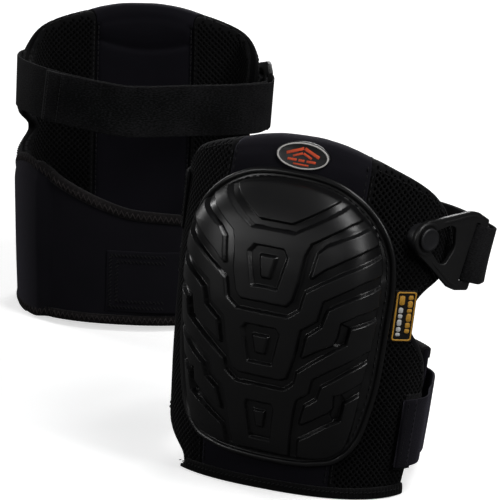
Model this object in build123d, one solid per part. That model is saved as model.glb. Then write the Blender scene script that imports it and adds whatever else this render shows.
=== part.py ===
from build123d import *
import os
import math
from bisect import bisect_left

# Pair of hard-shell knee pads, millimetres, +Z up, resting on the floor plane z = 0.
# The left pad stands in front with its hard cap facing -Y. The right pad is its
# mirror twin and stands behind it with its open leg side facing -Y.
# Each pad is laid out in its own frame: +x lateral (buckle side), -y front, +z up.
# "s" is the arc length round the plan outline at mid height, from the middle of the
# front, positive on the lateral side. Offsets are measured outwards from that outline.

# ---- plan outline ----
PAD_H = 226.0            # height of the padded body at its centre line
HALF_W_LOW = 85.0        # half width of the body at the floor
HALF_W_ADD = 6.0         # extra half width at the widest level
FRONT_DEPTH = 57.0       # centre line to the front face at mid height
FRONT_TOP_IN = 15.0      # how far the front face leans in at the top
FRONT_LOW_IN = 6.0       # how far it leans in at the floor
REAR_DEPTH = 84.0        # centre line to the back of the outline
FRONT_POWER = 2.45       # squareness of the outline, front half
REAR_POWER = 2.3         # and rear half
MID_Z = 112.0
OUTLINE_STEPS = 2400     # steps of the arc length table

# ---- padded body ----
PANEL_T = 0.8            # front panel and inner liner
MESH_T = 3.6             # spacer mesh on the wings
MESH_GAP = 0.6           # between the mesh and its lining
LINING_T = 4.2           # foam backed lining behind the mesh
WING_T = MESH_T + MESH_GAP + LINING_T
GEL_T = 8.0              # gel pad under the kneecap
PAD_T = 20.0             # whole thickness of the padded centre
FRONT_S = 48.0           # half width of the centre panel along the surface
SEAM_S = FRONT_S + 0.6   # where the wings begin
BIND_T = 1.6             # binding tape under the bottom edge
BIND_H = 7.0
BODY_FLOOR = BIND_T + 0.3   # underside of the body, just over the tape

# ---- hard cap, badge ----
CAP_GAP = 0.6            # cap flange over the fabric
CAP_FLANGE = 1.8
CROWN_INNER = 0.97       # inner crown as a share of the outer
BADGE_W, BADGE_H, BADGE_T = 36.5, 17.5, 1.2

# ---- strap, buckle and stud ----
STRAP_W, STRAP_T = 38.0, 1.6
STRAP_IN = 0.6                   # strap's inner face over its path
STRAP_OUT = STRAP_IN + STRAP_T
ANCHOR_STATIONS = 6              # stations of the strap's sewn end
BUCKLE_T = 3.0
BUCKLE_DROP = 15.0               # the buckle's long axis falls towards the strap, degrees
APEX_R = 11.5
# strap slot and bar, measured from the stud axis
SLOT_NEAR, SLOT_L = 34.2, 41.0
BAR_NEAR, BAR_FAR = 40.2, 45.2
BUCKLE_END = BAR_FAR + 2.2
LOOP_GAP = 0.3                   # strap fold to the plate's faces
STUD_HEAD_R, STUD_HEAD_T, STUD_NECK_R = 7.5, 2.3, 3.4
STUD_Z = 173.5
STUD_LIFT = 3.2                  # plate's under side over the wing at the stud
BOSS_R = 8.6

# ---- calf band ----
CALF_T = 4.0
CALF_OUT = -1.0                  # offset of the band's outer face
CALF_MEDIAL_S = 190.0            # arc length of the band's medial end
CALF_START_S = 192.0             # and of its lateral end

# ---- tables ----
# (height, arc length) of each wing's free edge: two lobes with a notch between them
LATERAL_EDGE = [
    (-20, 104), (5, 106), (20, 108), (50, 112), (78, 113), (92, 109), (100, 103), (107.5, 96),
    (113, 91), (120, 88.5), (126, 90), (133, 94), (139, 101), (143, 112), (148, 123), (156, 131),
    (165, 132), (174, 128), (182, 121), (190, 113), (202, 96), (209.5, 80), (215.5, 62),
    (219.3, 48), (220, 40),
]
MEDIAL_EDGE = [
    (-20, 168), (5, 174), (24, 186), (52, 188), (78, 187), (92, 184), (102, 177), (109, 164),
    (115, 140), (120, 112), (125, 101), (130, 102), (135, 114), (142, 142), (152, 172),
    (162, 182), (170, 172), (176, 148), (190, 115), (202, 96), (209.5, 80), (215.5, 62),
    (219.3, 48), (220, 40),
]
WING_LEVELS = [-16, 8, 32, 56, 76, 90, 104, 116, 130, 142, 152, 162, 172, 184, 198, 209, 216.5]
PANEL_LEVELS = [-16, 20, 60, 100, 140, 180, 200, 211]

# (height, arc length) of the gusset's rear and front edges on the medial side
GUSSET_REAR = [(-20, 189), (100, 189), (108, 184), (114, 176), (120, 160), (124, 150)]
GUSSET_FRONT = [(-20, 112), (70, 112), (92, 114), (104, 118), (114, 126), (120, 138), (124, 148)]

# (distance from the medial end, rise) of the calf band's top edge
CALF_RISE = [(0, 36), (10, 31), (25, 24), (40, 18), (55, 12.5), (76, 6), (120, 2.5), (160, 0)]

# (height, half width along the surface) of the hard cap
CAP_EDGE = [
    (15, 26), (17, 38), (20, 49), (25, 56), (32, 62), (42, 66.5), (58, 70), (75, 72.5),
    (95, 73.5), (115, 74), (135, 74.5), (150, 73.5), (162, 71), (174, 65.5), (184, 58),
    (192, 49), (198, 39), (202, 29), (204.5, 15),
]
# (height, crown above the flange) of the cap up its centre line
CAP_CROWN = [
    (15, 0.0), (19, 1.2), (24, 3.8), (32, 6.8), (43, 9.6), (60, 13.4), (80, 17.4), (95, 20.0),
    (120, 23.0), (147, 24.2), (163, 23.4), (176, 20.6), (186, 16.0), (194, 10.0), (200, 4.2),
    (204.5, 0.0),
]

# angles of the upper strap's stations from the front, medial side round past the back
STRAP_DEGREES = [-64, -71, -78, -85, -92, -99, -106, -114, -122, -131, -140, -150, -160, -170,
                 -180, -190, -199]

# one half of each outline on the buckle plate: (along from the stud axis, across)
PLATE_HALF = [(0, APEX_R), (30.0, 26.0), (36.5, 26.2), (BUCKLE_END, 23.6)]
KEYHOLE_HALF = [(0.6, 3.9), (18.5, 11.6), (22.5, 8.0), (24.4, 0)]


# ---- numbers ----
def spread(start, end, count):
    return [start + (end - start) * i / (count - 1) for i in range(count)]


def clamp(value):
    return min(max(value, 0.0), 1.0)


def smoothstep(value, start, end):
    u = clamp((value - start) / (end - start))
    return u * u * (3 - 2 * u)


def interpolate(table, value):
    """Straight-line reading of a two-column table, held level past its ends."""
    i = bisect_left(table, value, key=lambda row: row[0])
    i = min(max(i, 1), len(table) - 1)
    (x0, y0), (x1, y1) = table[i - 1], table[i]
    return y0 + (y1 - y0) * clamp((value - x0) / (x1 - x0))


def resolve(value, *where):
    """A size given as a number, or as a function of place."""
    return value(*where) if callable(value) else value


# ---- body surface ----
def half_width(z):
    return HALF_W_LOW + HALF_W_ADD * math.sin(max(z / PAD_H, 0) * math.pi * 0.75)


def front_depth(z):
    t = (z - MID_Z) / (PAD_H - MID_Z)
    return FRONT_DEPTH - FRONT_TOP_IN * max(t, 0) ** 2.2 - FRONT_LOW_IN * max(-t, 0) ** 2


def surface(angle, z, offset=0.0):
    """Point on the superellipse outline; angle 0 is the front, positive is lateral."""
    front = abs(angle) <= math.pi / 2
    depth = (front_depth(z) if front else REAR_DEPTH) + offset
    power = 2 / (FRONT_POWER if front else REAR_POWER)
    sine, cosine = math.sin(angle), math.cos(angle)
    x = (half_width(z) + offset) * math.copysign(abs(sine) ** power, sine)
    y = -depth * math.copysign(abs(cosine) ** power, cosine)
    return Vector(x, y, z)


def arc_table():
    """(arc length, angle) from the front round to the middle of the back."""
    rows = [(0.0, 0.0)]
    last = surface(0.0, MID_Z)
    for i in range(1, OUTLINE_STEPS + 1):
        angle = math.pi * i / OUTLINE_STEPS
        point = surface(angle, MID_Z)
        rows.append((rows[-1][0] + (point - last).length, angle))
        last = point
    return rows


ARC_TO_ANGLE = arc_table()
HALF_GIRTH = ARC_TO_ANGLE[-1][0]
CALF_END_S = 2 * HALF_GIRTH - CALF_MEDIAL_S


def at_arc(s, z, offset=0.0):
    """Surface point at arc length s, which may count on past the middle of the back."""
    if s > HALF_GIRTH:
        s -= 2 * HALF_GIRTH
    return surface(math.copysign(interpolate(ARC_TO_ANGLE, abs(s)), s), z, offset)


def thickness(s):
    """Padded thickness, thinning from the centre out to the wings."""
    return PAD_T + (WING_T - PAD_T) * smoothstep(abs(s), 50.0, 90.0)


# ---- placing ----
def cos_sin(degrees):
    return math.cos(math.radians(degrees)), math.sin(math.radians(degrees))


class Pad:
    """Placing of one pad, its stud and buckle axes, and its calf band heights."""

    def __init__(self, name, mirrored, yaw, lean, tilt, location, stud_s, buckle_turn,
                 calf_bottom, calf_top):
        self.name = name
        self.side = -1.0 if mirrored else 1.0
        self.yaw = cos_sin(yaw)
        self.lean = cos_sin(lean)      # positive takes the top towards the pad's back
        self.tilt = cos_sin(tilt)      # positive takes the top towards its lateral side
        self.location = Vector(*location, 0)
        self.calf_bottom, self.calf_top = calf_bottom, calf_top

        # buckle frame: out of the plate, along from stud to strap, up along the bar
        turn_c, turn_s = cos_sin(buckle_turn)
        drop_c, drop_s = cos_sin(BUCKLE_DROP)
        self.out = Vector(turn_c, -turn_s, 0)
        self.along = Vector(drop_c * turn_s, drop_c * turn_c, -drop_s)
        self.across = Vector(drop_s * turn_s, drop_s * turn_c, drop_c)
        self.stud_s = stud_s
        self.stud = at_arc(stud_s, STUD_Z, 0.2) + self.out * STUD_LIFT

    def turn(self, direction):
        """Direction from the pad's frame to the world."""
        x, y, z = direction
        c, s = self.tilt
        x, z = x * c + z * s, -x * s + z * c
        c, s = self.lean
        y, z = y * c + z * s, -y * s + z * c
        x *= self.side
        c, s = self.yaw
        return Vector(x * c - y * s, x * s + y * c, z)

    def place(self, point):
        """Point from the pad's frame to the world."""
        return self.turn(point) + self.location

    def buckle_point(self, along, across, out):
        return self.stud + self.along * along + self.across * across + self.out * out

    def buckle_plane(self, out):
        return Plane(origin=self.place(self.buckle_point(0, 0, out)),
                     x_dir=self.turn(self.along), z_dir=self.turn(self.out))


PADS = [
    Pad("left", mirrored=False, yaw=-24.0, lean=6.0, tilt=2.0, location=(42.914, -189.206),
        stud_s=88.5, buckle_turn=27.0, calf_bottom=12.0, calf_top=80.0),
    Pad("right", mirrored=True, yaw=176.0, lean=-6.0, tilt=0.0, location=(-80.086, 170.794),
        stud_s=97.0, buckle_turn=12.0, calf_bottom=-3.0, calf_top=76.0),
]


# ---- solid builders ----
def sheet(pad, levels, s_from, s_to, inner, outer, count=13):
    """Curved sheet lofted upwards through one closed section per level.

    The edges may be functions of z, the offsets functions of (s, z).
    """
    wires = []
    for z in levels:
        arcs = spread(resolve(s_from, z), resolve(s_to, z), count)
        outside = [pad.place(at_arc(s, z, resolve(outer, s, z))) for s in arcs]
        inside = [pad.place(at_arc(s, z, resolve(inner, s, z))) for s in arcs]
        wires.append(Wire([Spline(*outside), Line(outside[-1], inside[-1]),
                           Spline(*inside[::-1]), Line(inside[0], outside[0])]))
    return Solid.make_loft(wires, ruled=False)


def four_lines(corners):
    return Wire([Line(corners[i], corners[(i + 1) % 4]) for i in range(4)])


def ribbon(pad, stations, width):
    """Band through stations of (point, outward, up, inner height, outer height)."""
    wires = []
    for point, outward, up, low, high in stations:
        corners = [pad.place(point + outward * height + up * (half * width / 2))
                   for half, height in ((-1, low), (1, low), (1, high), (-1, high))]
        wires.append(four_lines(corners))
    return Solid.make_loft(wires, ruled=False)


def ruled_loft(sections):
    return Solid.make_loft([Wire.make_polygon(points, close=True) for points in sections],
                           ruled=True)


def above(solid, z):
    """The part of a solid over world height z."""
    box = Box(900, 1200, 400, align=(Align.CENTER, Align.CENTER, Align.MIN))
    return solid & box.moved(Location((0, 0, z)))


def symmetric_face(half):
    """Face from the points of one half outline, mirrored in the x axis."""
    return make_face(Polyline(*half, *[(x, -y) for x, y in reversed(half) if y], half[0]))


def disc(pad, out, radius, height):
    """Cylinder on the stud axis, rising from the given height over the plate's under side."""
    return extrude(pad.buckle_plane(out) * Circle(radius), height)


# ---- padded body ----
def centre_panel(pad, inner, outer):
    return above(sheet(pad, PANEL_LEVELS, -FRONT_S, FRONT_S, inner, outer), BODY_FLOOR)


def comfort_foam(pad):
    return sheet(pad, [14, 50, 100, 150, 190, 209], -FRONT_S + 1, FRONT_S - 1,
                 -PAD_T + PANEL_T + 0.3, -PANEL_T - GEL_T - 0.9)


def gel_insert(pad):
    return sheet(pad, [34, 70, 110, 150, 186], -38.0, 38.0,
                 -PANEL_T - GEL_T - 0.5, -PANEL_T - 0.4)


def top_roll(pad):
    """Padded roll along the top edge."""
    bottom = 212.0
    overhang = 0.2
    sections = []
    for s in spread(-0.98 * FRONT_S, 0.98 * FRONT_S, 9):
        top = 225.5 - 6.5 * (abs(s) / FRONT_S) ** 2.2
        middle = (bottom + top) / 2 + 1
        points = []
        for offset, z in ((overhang, bottom), (overhang, middle), (-2.5, top - 1.8),
                          (-PAD_T / 2, top), (-PAD_T + 2.5, top - 1.8),
                          (-PAD_T - overhang, middle), (-PAD_T - overhang, bottom)):
            # every point of a section lies in one upright plane
            x, y, _ = at_arc(s, 219.0, offset)
            points.append(pad.place((x, y, z)))
        sections.append(points)
    return ruled_loft(sections)


def wing(pad, side, inset, inner, outer):
    """One layer of a wing, with its free edge drawn in by the inset."""
    if side == "lateral":
        s_from = SEAM_S
        s_to = lambda z: interpolate(LATERAL_EDGE, z) - inset
    else:
        s_from = lambda z: -interpolate(MEDIAL_EDGE, z) + inset
        s_to = -SEAM_S
    return above(sheet(pad, WING_LEVELS, s_from, s_to, inner, outer, count=15), BODY_FLOOR)


def wing_mesh(pad, side):
    return wing(pad, side, 0.0, -MESH_T, 0.0)


def wing_lining(pad, side):
    return wing(pad, side, 1.0, lambda s, z: -thickness(s), -MESH_T - MESH_GAP)


def bottom_binding(pad):
    """Tape round the bottom edge: a flat sole with an outer lip."""
    lip_out, lip_in = 1.6, 0.7
    under = -2.0             # below the floor, trimmed off level
    sections = []
    for s in spread(-172.0, 105.0, 27):
        back = -thickness(s) - 0.2
        points = []
        for offset, z in ((lip_out, BIND_H), (lip_out, under), (back, under),
                          (back, BIND_T), (lip_in, BIND_T), (lip_in, BIND_H)):
            x, y, _ = pad.place(at_arc(s, 0.0, offset))
            points.append((x, y, z))
        sections.append(points)
    return above(ruled_loft(sections), 0.0)


# ---- hard cap, badge and label ----
def cap_half_width(z):
    return interpolate(CAP_EDGE, z)


def crown(s, z):
    """Height of the dome over the flange, which is 3 mm wide."""
    u = min(abs(s) / (cap_half_width(z) - 3.0), 1.0)
    return interpolate(CAP_CROWN, z) * (1 - u ** 5) ** 1.5


def cap(pad):
    """Domed shell with a flange."""
    levels = [15, 20, 28, 40, 58, 80, 110, 140, 158, 174, 187, 197, 204]
    return sheet(pad, levels, lambda z: -cap_half_width(z), cap_half_width,
                 lambda s, z: CAP_GAP + CROWN_INNER * crown(s, z),
                 lambda s, z: CAP_GAP + CAP_FLANGE + crown(s, z), count=25)


def foam_core(pad):
    """Foam filling inside the cap."""
    inset = 16.0
    return sheet(pad, [44, 60, 80, 110, 140, 160, 172, 180],
                 lambda z: -cap_half_width(z) + inset, lambda z: cap_half_width(z) - inset,
                 0.5, lambda s, z: CROWN_INNER * crown(s, z) - 0.5, count=17)


def badge(pad):
    """Low oval moulding on the front, above the cap."""
    up = (surface(0.0, 213.0) - surface(0.0, 205.0)).normalized()
    outward = Vector(0, -up.Z, up.Y)
    centre = at_arc(2.0, 214.5) + outward * 0.9
    plane = Plane(origin=pad.place(centre), x_dir=pad.turn((1, 0, 0)),
                  z_dir=pad.turn(outward))
    return extrude(plane * Ellipse(BADGE_W / 2, BADGE_H / 2), BADGE_T)


def side_label(pad):
    """Label at the cap's lateral edge."""
    return sheet(pad, [105, 113, 122, 130, 139], 76.0, 91.0, 0.2, 0.8, count=5)


# ---- upper strap ----
def strap_height(degrees):
    """The strap hangs a little at the back and rises again beyond it."""
    if degrees >= -180:
        return 168.0 - 11.0 * max((-110.0 - degrees) / 70.0, 0.0) ** 1.5
    return 157.0 + 5.0 * ((-180.0 - degrees) / 45.0) ** 1.4


def strap_path(pad):
    """Stations (point, outward, up) from the medial side to the buckle's bar."""
    points = [surface(math.radians(deg), strap_height(deg)) for deg in STRAP_DEGREES]

    # Hermite curve from the last station on the outline to the bar
    start = points[-1]
    start_dir = (start - points[-2]).normalized()
    end = pad.buckle_point(BAR_FAR + 3.0, 0, -2.5)
    end_dir = -pad.along
    pull = (end - start).length * 1.15
    for i in range(1, 9):
        u = i / 8
        points.append(start * (2 * u**3 - 3 * u**2 + 1)
                      + start_dir * (pull * (u**3 - 2 * u**2 + u))
                      + end * (-2 * u**3 + 3 * u**2)
                      + end_dir * (pull * (u**3 - u**2)))

    directions = [(ahead - behind).normalized()
                  for behind, ahead in zip(points[:1] + points, points[1:])] + [end_dir]
    stations = []
    for point, direction in zip(points, directions):
        outward = Vector(-direction.Y, direction.X, 0).normalized()
        up = direction.cross(outward).normalized()
        stations.append((point, outward, up))
    return stations


def strap_anchor(pad):
    """Sewn end of the strap on the medial wing."""
    stations = strap_path(pad)[:ANCHOR_STATIONS]
    return ribbon(pad, [(*station, STRAP_IN, STRAP_OUT) for station in stations], STRAP_W)


def upper_strap(pad):
    """Free run of the strap, starting a small gap past its sewn end."""
    stations = strap_path(pad)[ANCHOR_STATIONS - 1:]
    point, outward, up = stations[0]
    onward = (stations[1][0] - point).normalized()
    stations[0] = (point + onward * 0.8, outward, up)
    return ribbon(pad, [(*station, STRAP_IN, STRAP_OUT) for station in stations], STRAP_W)


def strap_tail(pad):
    """Free tail of the strap, folded back over the outside from the buckle."""
    stations = []
    for i, station in enumerate(strap_path(pad)[:9:-1]):
        settled = smoothstep(i, 0, 4)
        low = (STRAP_OUT + 3.6) * (1 - settled) + (STRAP_OUT + 1.3) * settled
        stations.append((*station, low, low + STRAP_T))
    return ribbon(pad, stations, STRAP_W - 0.6)


def strap_hook_tab(pad):
    """Tab between the strap and the end of its tail."""
    stations = strap_path(pad)[14:9:-1]
    return ribbon(pad, [(*station, STRAP_OUT + 0.2, STRAP_OUT + 1.0) for station in stations],
                  STRAP_W - 4.0)


def buckle_block(pad, near, far, low, high, width):
    """Block centred across the buckle, from its extents along and out of the plate."""
    corners = [pad.place(pad.buckle_point(along, -width / 2, out))
               for along, out in ((near, low), (far, low), (far, high), (near, high))]
    return extrude(Face(four_lines(corners)), width, dir=pad.turn(pad.across))


def strap_loop(pad):
    """Fold of the strap round the buckle's bar."""
    reach = LOOP_GAP + STRAP_T
    fold = buckle_block(pad, BAR_NEAR - 2.0, BUCKLE_END, -reach, BUCKLE_T + reach, STRAP_W)
    return fold - buckle_block(pad, BAR_NEAR - LOOP_GAP, BAR_FAR + 6, -LOOP_GAP,
                               BUCKLE_T + LOOP_GAP, STRAP_W + 4)


# ---- buckle and stud ----
def buckle(pad):
    """Flat triangular plate with a rounded apex, a keyhole and a strap slot."""
    plane = pad.buckle_plane(0.0)
    plate = symmetric_face(PLATE_HALF) + Circle(APEX_R)
    keyhole = symmetric_face(KEYHOLE_HALF) + Circle(3.95)
    slot = Pos((BAR_NEAR + SLOT_NEAR) / 2, 0) * Rectangle(BAR_NEAR - SLOT_NEAR, SLOT_L)
    return (extrude(plane * plate, BUCKLE_T) - extrude(plane * keyhole, BUCKLE_T)
            - extrude(plane * slot, BUCKLE_T))


def stud(pad):
    """Neck and flat mushroom head."""
    head = disc(pad, BUCKLE_T + 0.3, STUD_HEAD_R, STUD_HEAD_T)
    neck = disc(pad, -2.4, STUD_NECK_R, BUCKLE_T + 2.8)
    return head + neck


def stud_base(pad):
    """Low boss under the stud, shaped to the wing."""
    boss = disc(pad, -9.0, BOSS_R, 8.6)
    wing_block = sheet(pad, [150, 162, 174, 186, 198], pad.stud_s - 22, pad.stud_s + 22,
                       -14.0, 0.2, count=9)
    boss = boss - wing_block - disc(pad, -2.45, STUD_NECK_R + 0.05, 6)
    # the cuts may leave scraps: keep the main piece
    return max(boss.solids(), key=lambda piece: piece.volume)


# ---- calf band and its closure ----
def calf_top_edge(pad, s):
    return pad.calf_top + interpolate(CALF_RISE, CALF_END_S - s)


def calf_band(pad):
    """Neoprene band round the back, from the medial wing's rear edge."""
    inner = CALF_OUT - CALF_T
    sections = []
    for s in spread(CALF_START_S, CALF_END_S, 31):
        top = calf_top_edge(pad, s)
        sections.append([pad.place(at_arc(s, z, offset)) for offset, z in
                         ((inner, pad.calf_bottom), (CALF_OUT, pad.calf_bottom),
                          (CALF_OUT, top), (inner, top))])
    return ruled_loft(sections)


def calf_tape(pad, edge, into):
    """Binding tape over an edge of the calf band.

    edge gives the edge's height at s; into is +1 if the band lies above it, else -1.
    """
    fold_out, fold_in, leg_end = -into * 1.2, -into * 0.5, into * 7.0
    profile = [(0.1, leg_end), (0.1, fold_out), (-2.3 - CALF_T, fold_out),
               (-2.3 - CALF_T, leg_end), (-1.6 - CALF_T, leg_end), (-1.6 - CALF_T, fold_in),
               (-0.6, fold_in), (-0.6, leg_end)]
    sections = []
    for s in spread(CALF_START_S + 0.3, CALF_END_S - 0.3, 31):
        z = edge(s)
        points = []
        for offset, rise in profile:
            x, y, _ = at_arc(s, z, offset)
            points.append(pad.place((x, y, z + rise)))
        sections.append(points)
    return ruled_loft(sections)


def gusset(pad):
    """Neoprene panel over the medial wing's lower lobe."""
    panel = sheet(pad, [-10, 20, 50, 75, 92, 104, 113, 118.5],
                  lambda z: -interpolate(GUSSET_REAR, z),
                  lambda z: -interpolate(GUSSET_FRONT, z), 0.2, 2.2)
    return above(panel, 9.0)


def loop_patch(pad):
    """Patch on the lateral wing for the calf closure."""
    return sheet(pad, [pad.calf_bottom + rise for rise in (7, 24, 40, 57)], 94.0, 108.0,
                 0.2, 0.9, count=7)


def closure_levels(pad, *rises):
    return [pad.calf_bottom + 9.0 + rise for rise in rises]


def closure_strap(pad):
    """Strap from the lateral wing back onto the calf band."""
    def offset(on_wing, on_band):
        # off the wing the strap draws in by 7 mm, then lies on the band
        def at(s, z):
            drawn_in = smoothstep(s, 110.0, 142.0)
            landed = smoothstep(s, 160.0, 194.0)
            return (on_wing - 7.0 * drawn_in) * (1 - landed) + on_band * landed
        return at

    return sheet(pad, closure_levels(pad, 0, 15, 30, 46), 91.0, 240.0,
                 offset(2.1, 0.3), offset(3.7, 1.9), count=31)


def closure_hook_tab(pad):
    """Tab between the closure strap and the loop patch."""
    return sheet(pad, closure_levels(pad, 2, 15, 30, 44), 95.5, 107.0, 1.2, 1.9, count=9)


# ---- assembly and export ----
def build(pad):
    return {
        "front_panel": centre_panel(pad, -PANEL_T, 0.0),
        "liner_panel": centre_panel(pad, -PAD_T, -PAD_T + PANEL_T),
        "comfort_foam": comfort_foam(pad),
        "gel_insert": gel_insert(pad),
        "top_roll": top_roll(pad),
        "lateral_wing_mesh": wing_mesh(pad, "lateral"),
        "lateral_wing_lining": wing_lining(pad, "lateral"),
        "medial_wing_mesh": wing_mesh(pad, "medial"),
        "medial_wing_lining": wing_lining(pad, "medial"),
        "bottom_binding": bottom_binding(pad),
        "cap": cap(pad),
        "foam_core": foam_core(pad),
        "badge": badge(pad),
        "side_label": side_label(pad),
        "strap_anchor": strap_anchor(pad),
        "upper_strap": upper_strap(pad),
        "strap_loop": strap_loop(pad),
        "strap_tail": strap_tail(pad),
        "strap_hook_tab": strap_hook_tab(pad),
        "buckle": buckle(pad),
        "stud": stud(pad),
        "stud_base": stud_base(pad),
        "loop_patch": loop_patch(pad),
        "calf_band": calf_band(pad),
        "gusset": gusset(pad),
        "calf_band_top_tape": calf_tape(pad, lambda s: calf_top_edge(pad, s), into=-1),
        "calf_band_bottom_tape": calf_tape(pad, lambda s: pad.calf_bottom, into=1),
        "closure_strap": closure_strap(pad),
        "closure_hook_tab": closure_hook_tab(pad),
    }


def bare_solids(shape):
    """The single solid of a shape, or a compound of its solids, largest first."""
    solids = sorted(shape.solids(), key=lambda solid: -solid.volume)
    return solids[0] if len(solids) == 1 else Compound(children=solids)


os.makedirs("parts", exist_ok=True)
for pad in PADS:
    for name, shape in build(pad).items():
        export_step(bare_solids(shape), f"parts/{pad.name}_{name}.step")
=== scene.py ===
"""A pair of hard-capped leg pads standing on the floor, soft parts and hardware included.

Each pad is shaped in its own frame, in millimetres: -y is its front, z is up, and +x is its
lateral side. Points on its wall are (arc, z, off): arc is the distance round the body from the
front centre line, positive towards +x, and off is the distance outwards. A Pad turns these
into world metres. The left pad faces -Y, where the camera is; the right pad is mirrored and
shows its back.
"""
import bpy
import bmesh
import math
import numpy as np
from mathutils import Matrix, Vector


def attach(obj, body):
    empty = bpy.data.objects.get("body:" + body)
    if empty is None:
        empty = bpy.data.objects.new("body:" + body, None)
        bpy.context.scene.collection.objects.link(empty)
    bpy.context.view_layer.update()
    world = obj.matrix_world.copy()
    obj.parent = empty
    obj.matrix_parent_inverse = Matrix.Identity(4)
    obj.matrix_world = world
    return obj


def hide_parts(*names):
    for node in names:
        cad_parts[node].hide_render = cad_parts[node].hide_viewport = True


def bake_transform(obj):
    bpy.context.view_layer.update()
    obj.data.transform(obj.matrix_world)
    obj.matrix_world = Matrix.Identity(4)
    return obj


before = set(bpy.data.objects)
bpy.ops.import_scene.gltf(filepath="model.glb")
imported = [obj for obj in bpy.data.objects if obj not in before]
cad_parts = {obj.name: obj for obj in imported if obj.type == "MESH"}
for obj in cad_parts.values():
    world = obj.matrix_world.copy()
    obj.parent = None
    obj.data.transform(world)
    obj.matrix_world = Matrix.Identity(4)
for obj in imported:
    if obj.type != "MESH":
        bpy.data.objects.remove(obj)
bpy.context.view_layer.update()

# =============================================================================
# sizes (millimetres)
# =============================================================================
PAD_T, WING_T = 20.0, 8.4           # thickness of the padded centre and of the wings
FRONT_HALF = 48.0                   # arc from the front centre line to the wing seams
ROLL_H = 9.6                        # height of the roll along the top of the centre
FRONT_POW, REAR_POW = 2.45, 2.3     # superellipse exponents of the plan
REAR_DEPTH = 84.0
FLANGE = 1.35                       # offset of the cap's flange
STRAP_W, STRAP_T, STRAP_GAP = 38.0, 1.6, 0.6
CLOSURE_T = 1.6
BUCKLE_T = 3.0
BAR_NEAR, BAR_FAR = 40.2, 45.2      # the buckle's bar, measured from the stud
BAR_MID = (BAR_NEAR + BAR_FAR) / 2
STUD_Z = 173.5
UP = (0.0, 0.0, 1.0)

# Free edges of the wings: (z, arc from the front centre line).
TOP_EDGE = [(190, 113), (202, 96), (209.5, 80), (215.5, 62), (219.3, 48), (221, 36)]
LATERAL_EDGE = [
    (-20, 104), (5, 106), (20, 108), (50, 112), (78, 113), (92, 109), (100, 103), (107.5, 96),
    (113, 91), (120, 88.5), (126, 90), (133, 94), (139, 101), (143, 112), (148, 123),
    (156, 131), (165, 132), (174, 128), (182, 121)] + TOP_EDGE
MEDIAL_EDGE_RIGHT = [
    (-20, 168), (5, 174), (24, 186), (52, 188), (78, 187), (92, 184), (102, 177), (109, 164),
    (115, 140), (120, 112), (125, 101), (130, 102), (135, 114), (142, 142), (152, 172),
    (162, 182), (170, 172), (176, 148)] + TOP_EDGE
MEDIAL_EDGE_LEFT = [
    (-20, 66), (2, 70), (7, 77), (12, 85), (18, 94), (25, 106), (33, 124), (40, 150),
    (46, 178), (54, 188)] + MEDIAL_EDGE_RIGHT[4:]
# Rise of the calf band's top edge: (distance from the band's medial end, rise).
CALF_RISE = [(0, 36), (10, 31), (25, 24), (40, 18), (55, 12.5), (76, 6), (120, 2.5), (160, 0)]
# Dome of the hard cap on its centre line: (z, height).
DOME = [
    (15, 0.0), (19, 1.2), (24, 3.8), (32, 6.8), (43, 9.6), (60, 13.4), (80, 17.4), (95, 20.0),
    (120, 23.0), (147, 24.2), (163, 23.4), (176, 20.6), (186, 16.0), (194, 10.0), (200, 4.2),
    (204.5, 0.0)]


# =============================================================================
# shape functions
# =============================================================================
def clamp(x):
    return np.clip(x, 0, 1)


def smooth(x):
    x = clamp(x)
    return x * x * (3 - 2 * x)


def unit(v):
    return v / np.maximum(np.linalg.norm(v, axis=-1, keepdims=True), 1e-12)


def arc_length(points):
    """Running length along a polyline, starting at 0."""
    steps = np.linalg.norm(np.diff(points, axis=0), axis=1)
    return np.concatenate([[0], np.cumsum(steps)])


def interp_rows(x, xs, rows):
    return np.stack([np.interp(x, xs, column) for column in rows.T], -1)


def wobble(x, y, freq, seed):
    """Slow even wobble used for the set of soft goods, about -1..1."""
    rng = np.random.RandomState(seed)
    total = 0.0
    for i in range(6):
        step = freq * (0.6 + 0.35 * i)
        turn = rng.uniform(0, math.pi)
        phase = rng.uniform(0, 6.28)
        wave = np.sin(step * (x * math.cos(turn) + y * math.sin(turn)) + phase)
        total = total + wave / (1 + 0.5 * i)
    return total / 3.0


def smooth_table(table, width, step=0.25):
    """Resamples a table finely and runs a moving average over it twice."""
    xs, ys = np.array(table, float).T
    grid = np.arange(xs[0], xs[-1] + step, step)
    values = np.interp(grid, xs, ys)
    k = int(width / step)
    for _ in range(2):
        before = 2 * values[0] - values[1:k + 1][::-1]
        after = 2 * values[-1] - values[-k - 1:-1][::-1]
        sums = np.cumsum(np.concatenate([[0], before, values, after]))
        values = (sums[2 * k + 1:] - sums[:-2 * k - 1]) / (2 * k + 1)
    return grid, values


LATERAL_CURVE = smooth_table(LATERAL_EDGE, 2.5)
MEDIAL_CURVE_RIGHT = smooth_table(MEDIAL_EDGE_RIGHT, 3.0)
MEDIAL_CURVE_LEFT = smooth_table(MEDIAL_EDGE_LEFT, 2.5)
RISE_CURVE = smooth_table(CALF_RISE, 6.0)
DOME_CURVE = smooth_table(DOME, 3.5)


def edge_arc(pad, side, z):
    """Arc of a wing's free edge; side is 1 for lateral, -1 for medial."""
    if side > 0:
        curve = LATERAL_CURVE
    else:
        curve = MEDIAL_CURVE_LEFT if pad.mirror > 0 else MEDIAL_CURVE_RIGHT
    return np.interp(z, *curve)


def dome_height(z):
    return np.maximum(np.interp(z, *DOME_CURVE), 0)


def half_width(z):
    return 85.0 + 6.0 * np.sin(np.clip(z / 226.0, 0, 1) * math.pi * 0.75)


def front_depth(z):
    rise = (z - 112.0) / 114.0
    return 57.0 - 15.0 * np.maximum(rise, 0) ** 2.2 - 6.0 * np.maximum(-rise, 0) ** 2


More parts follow.
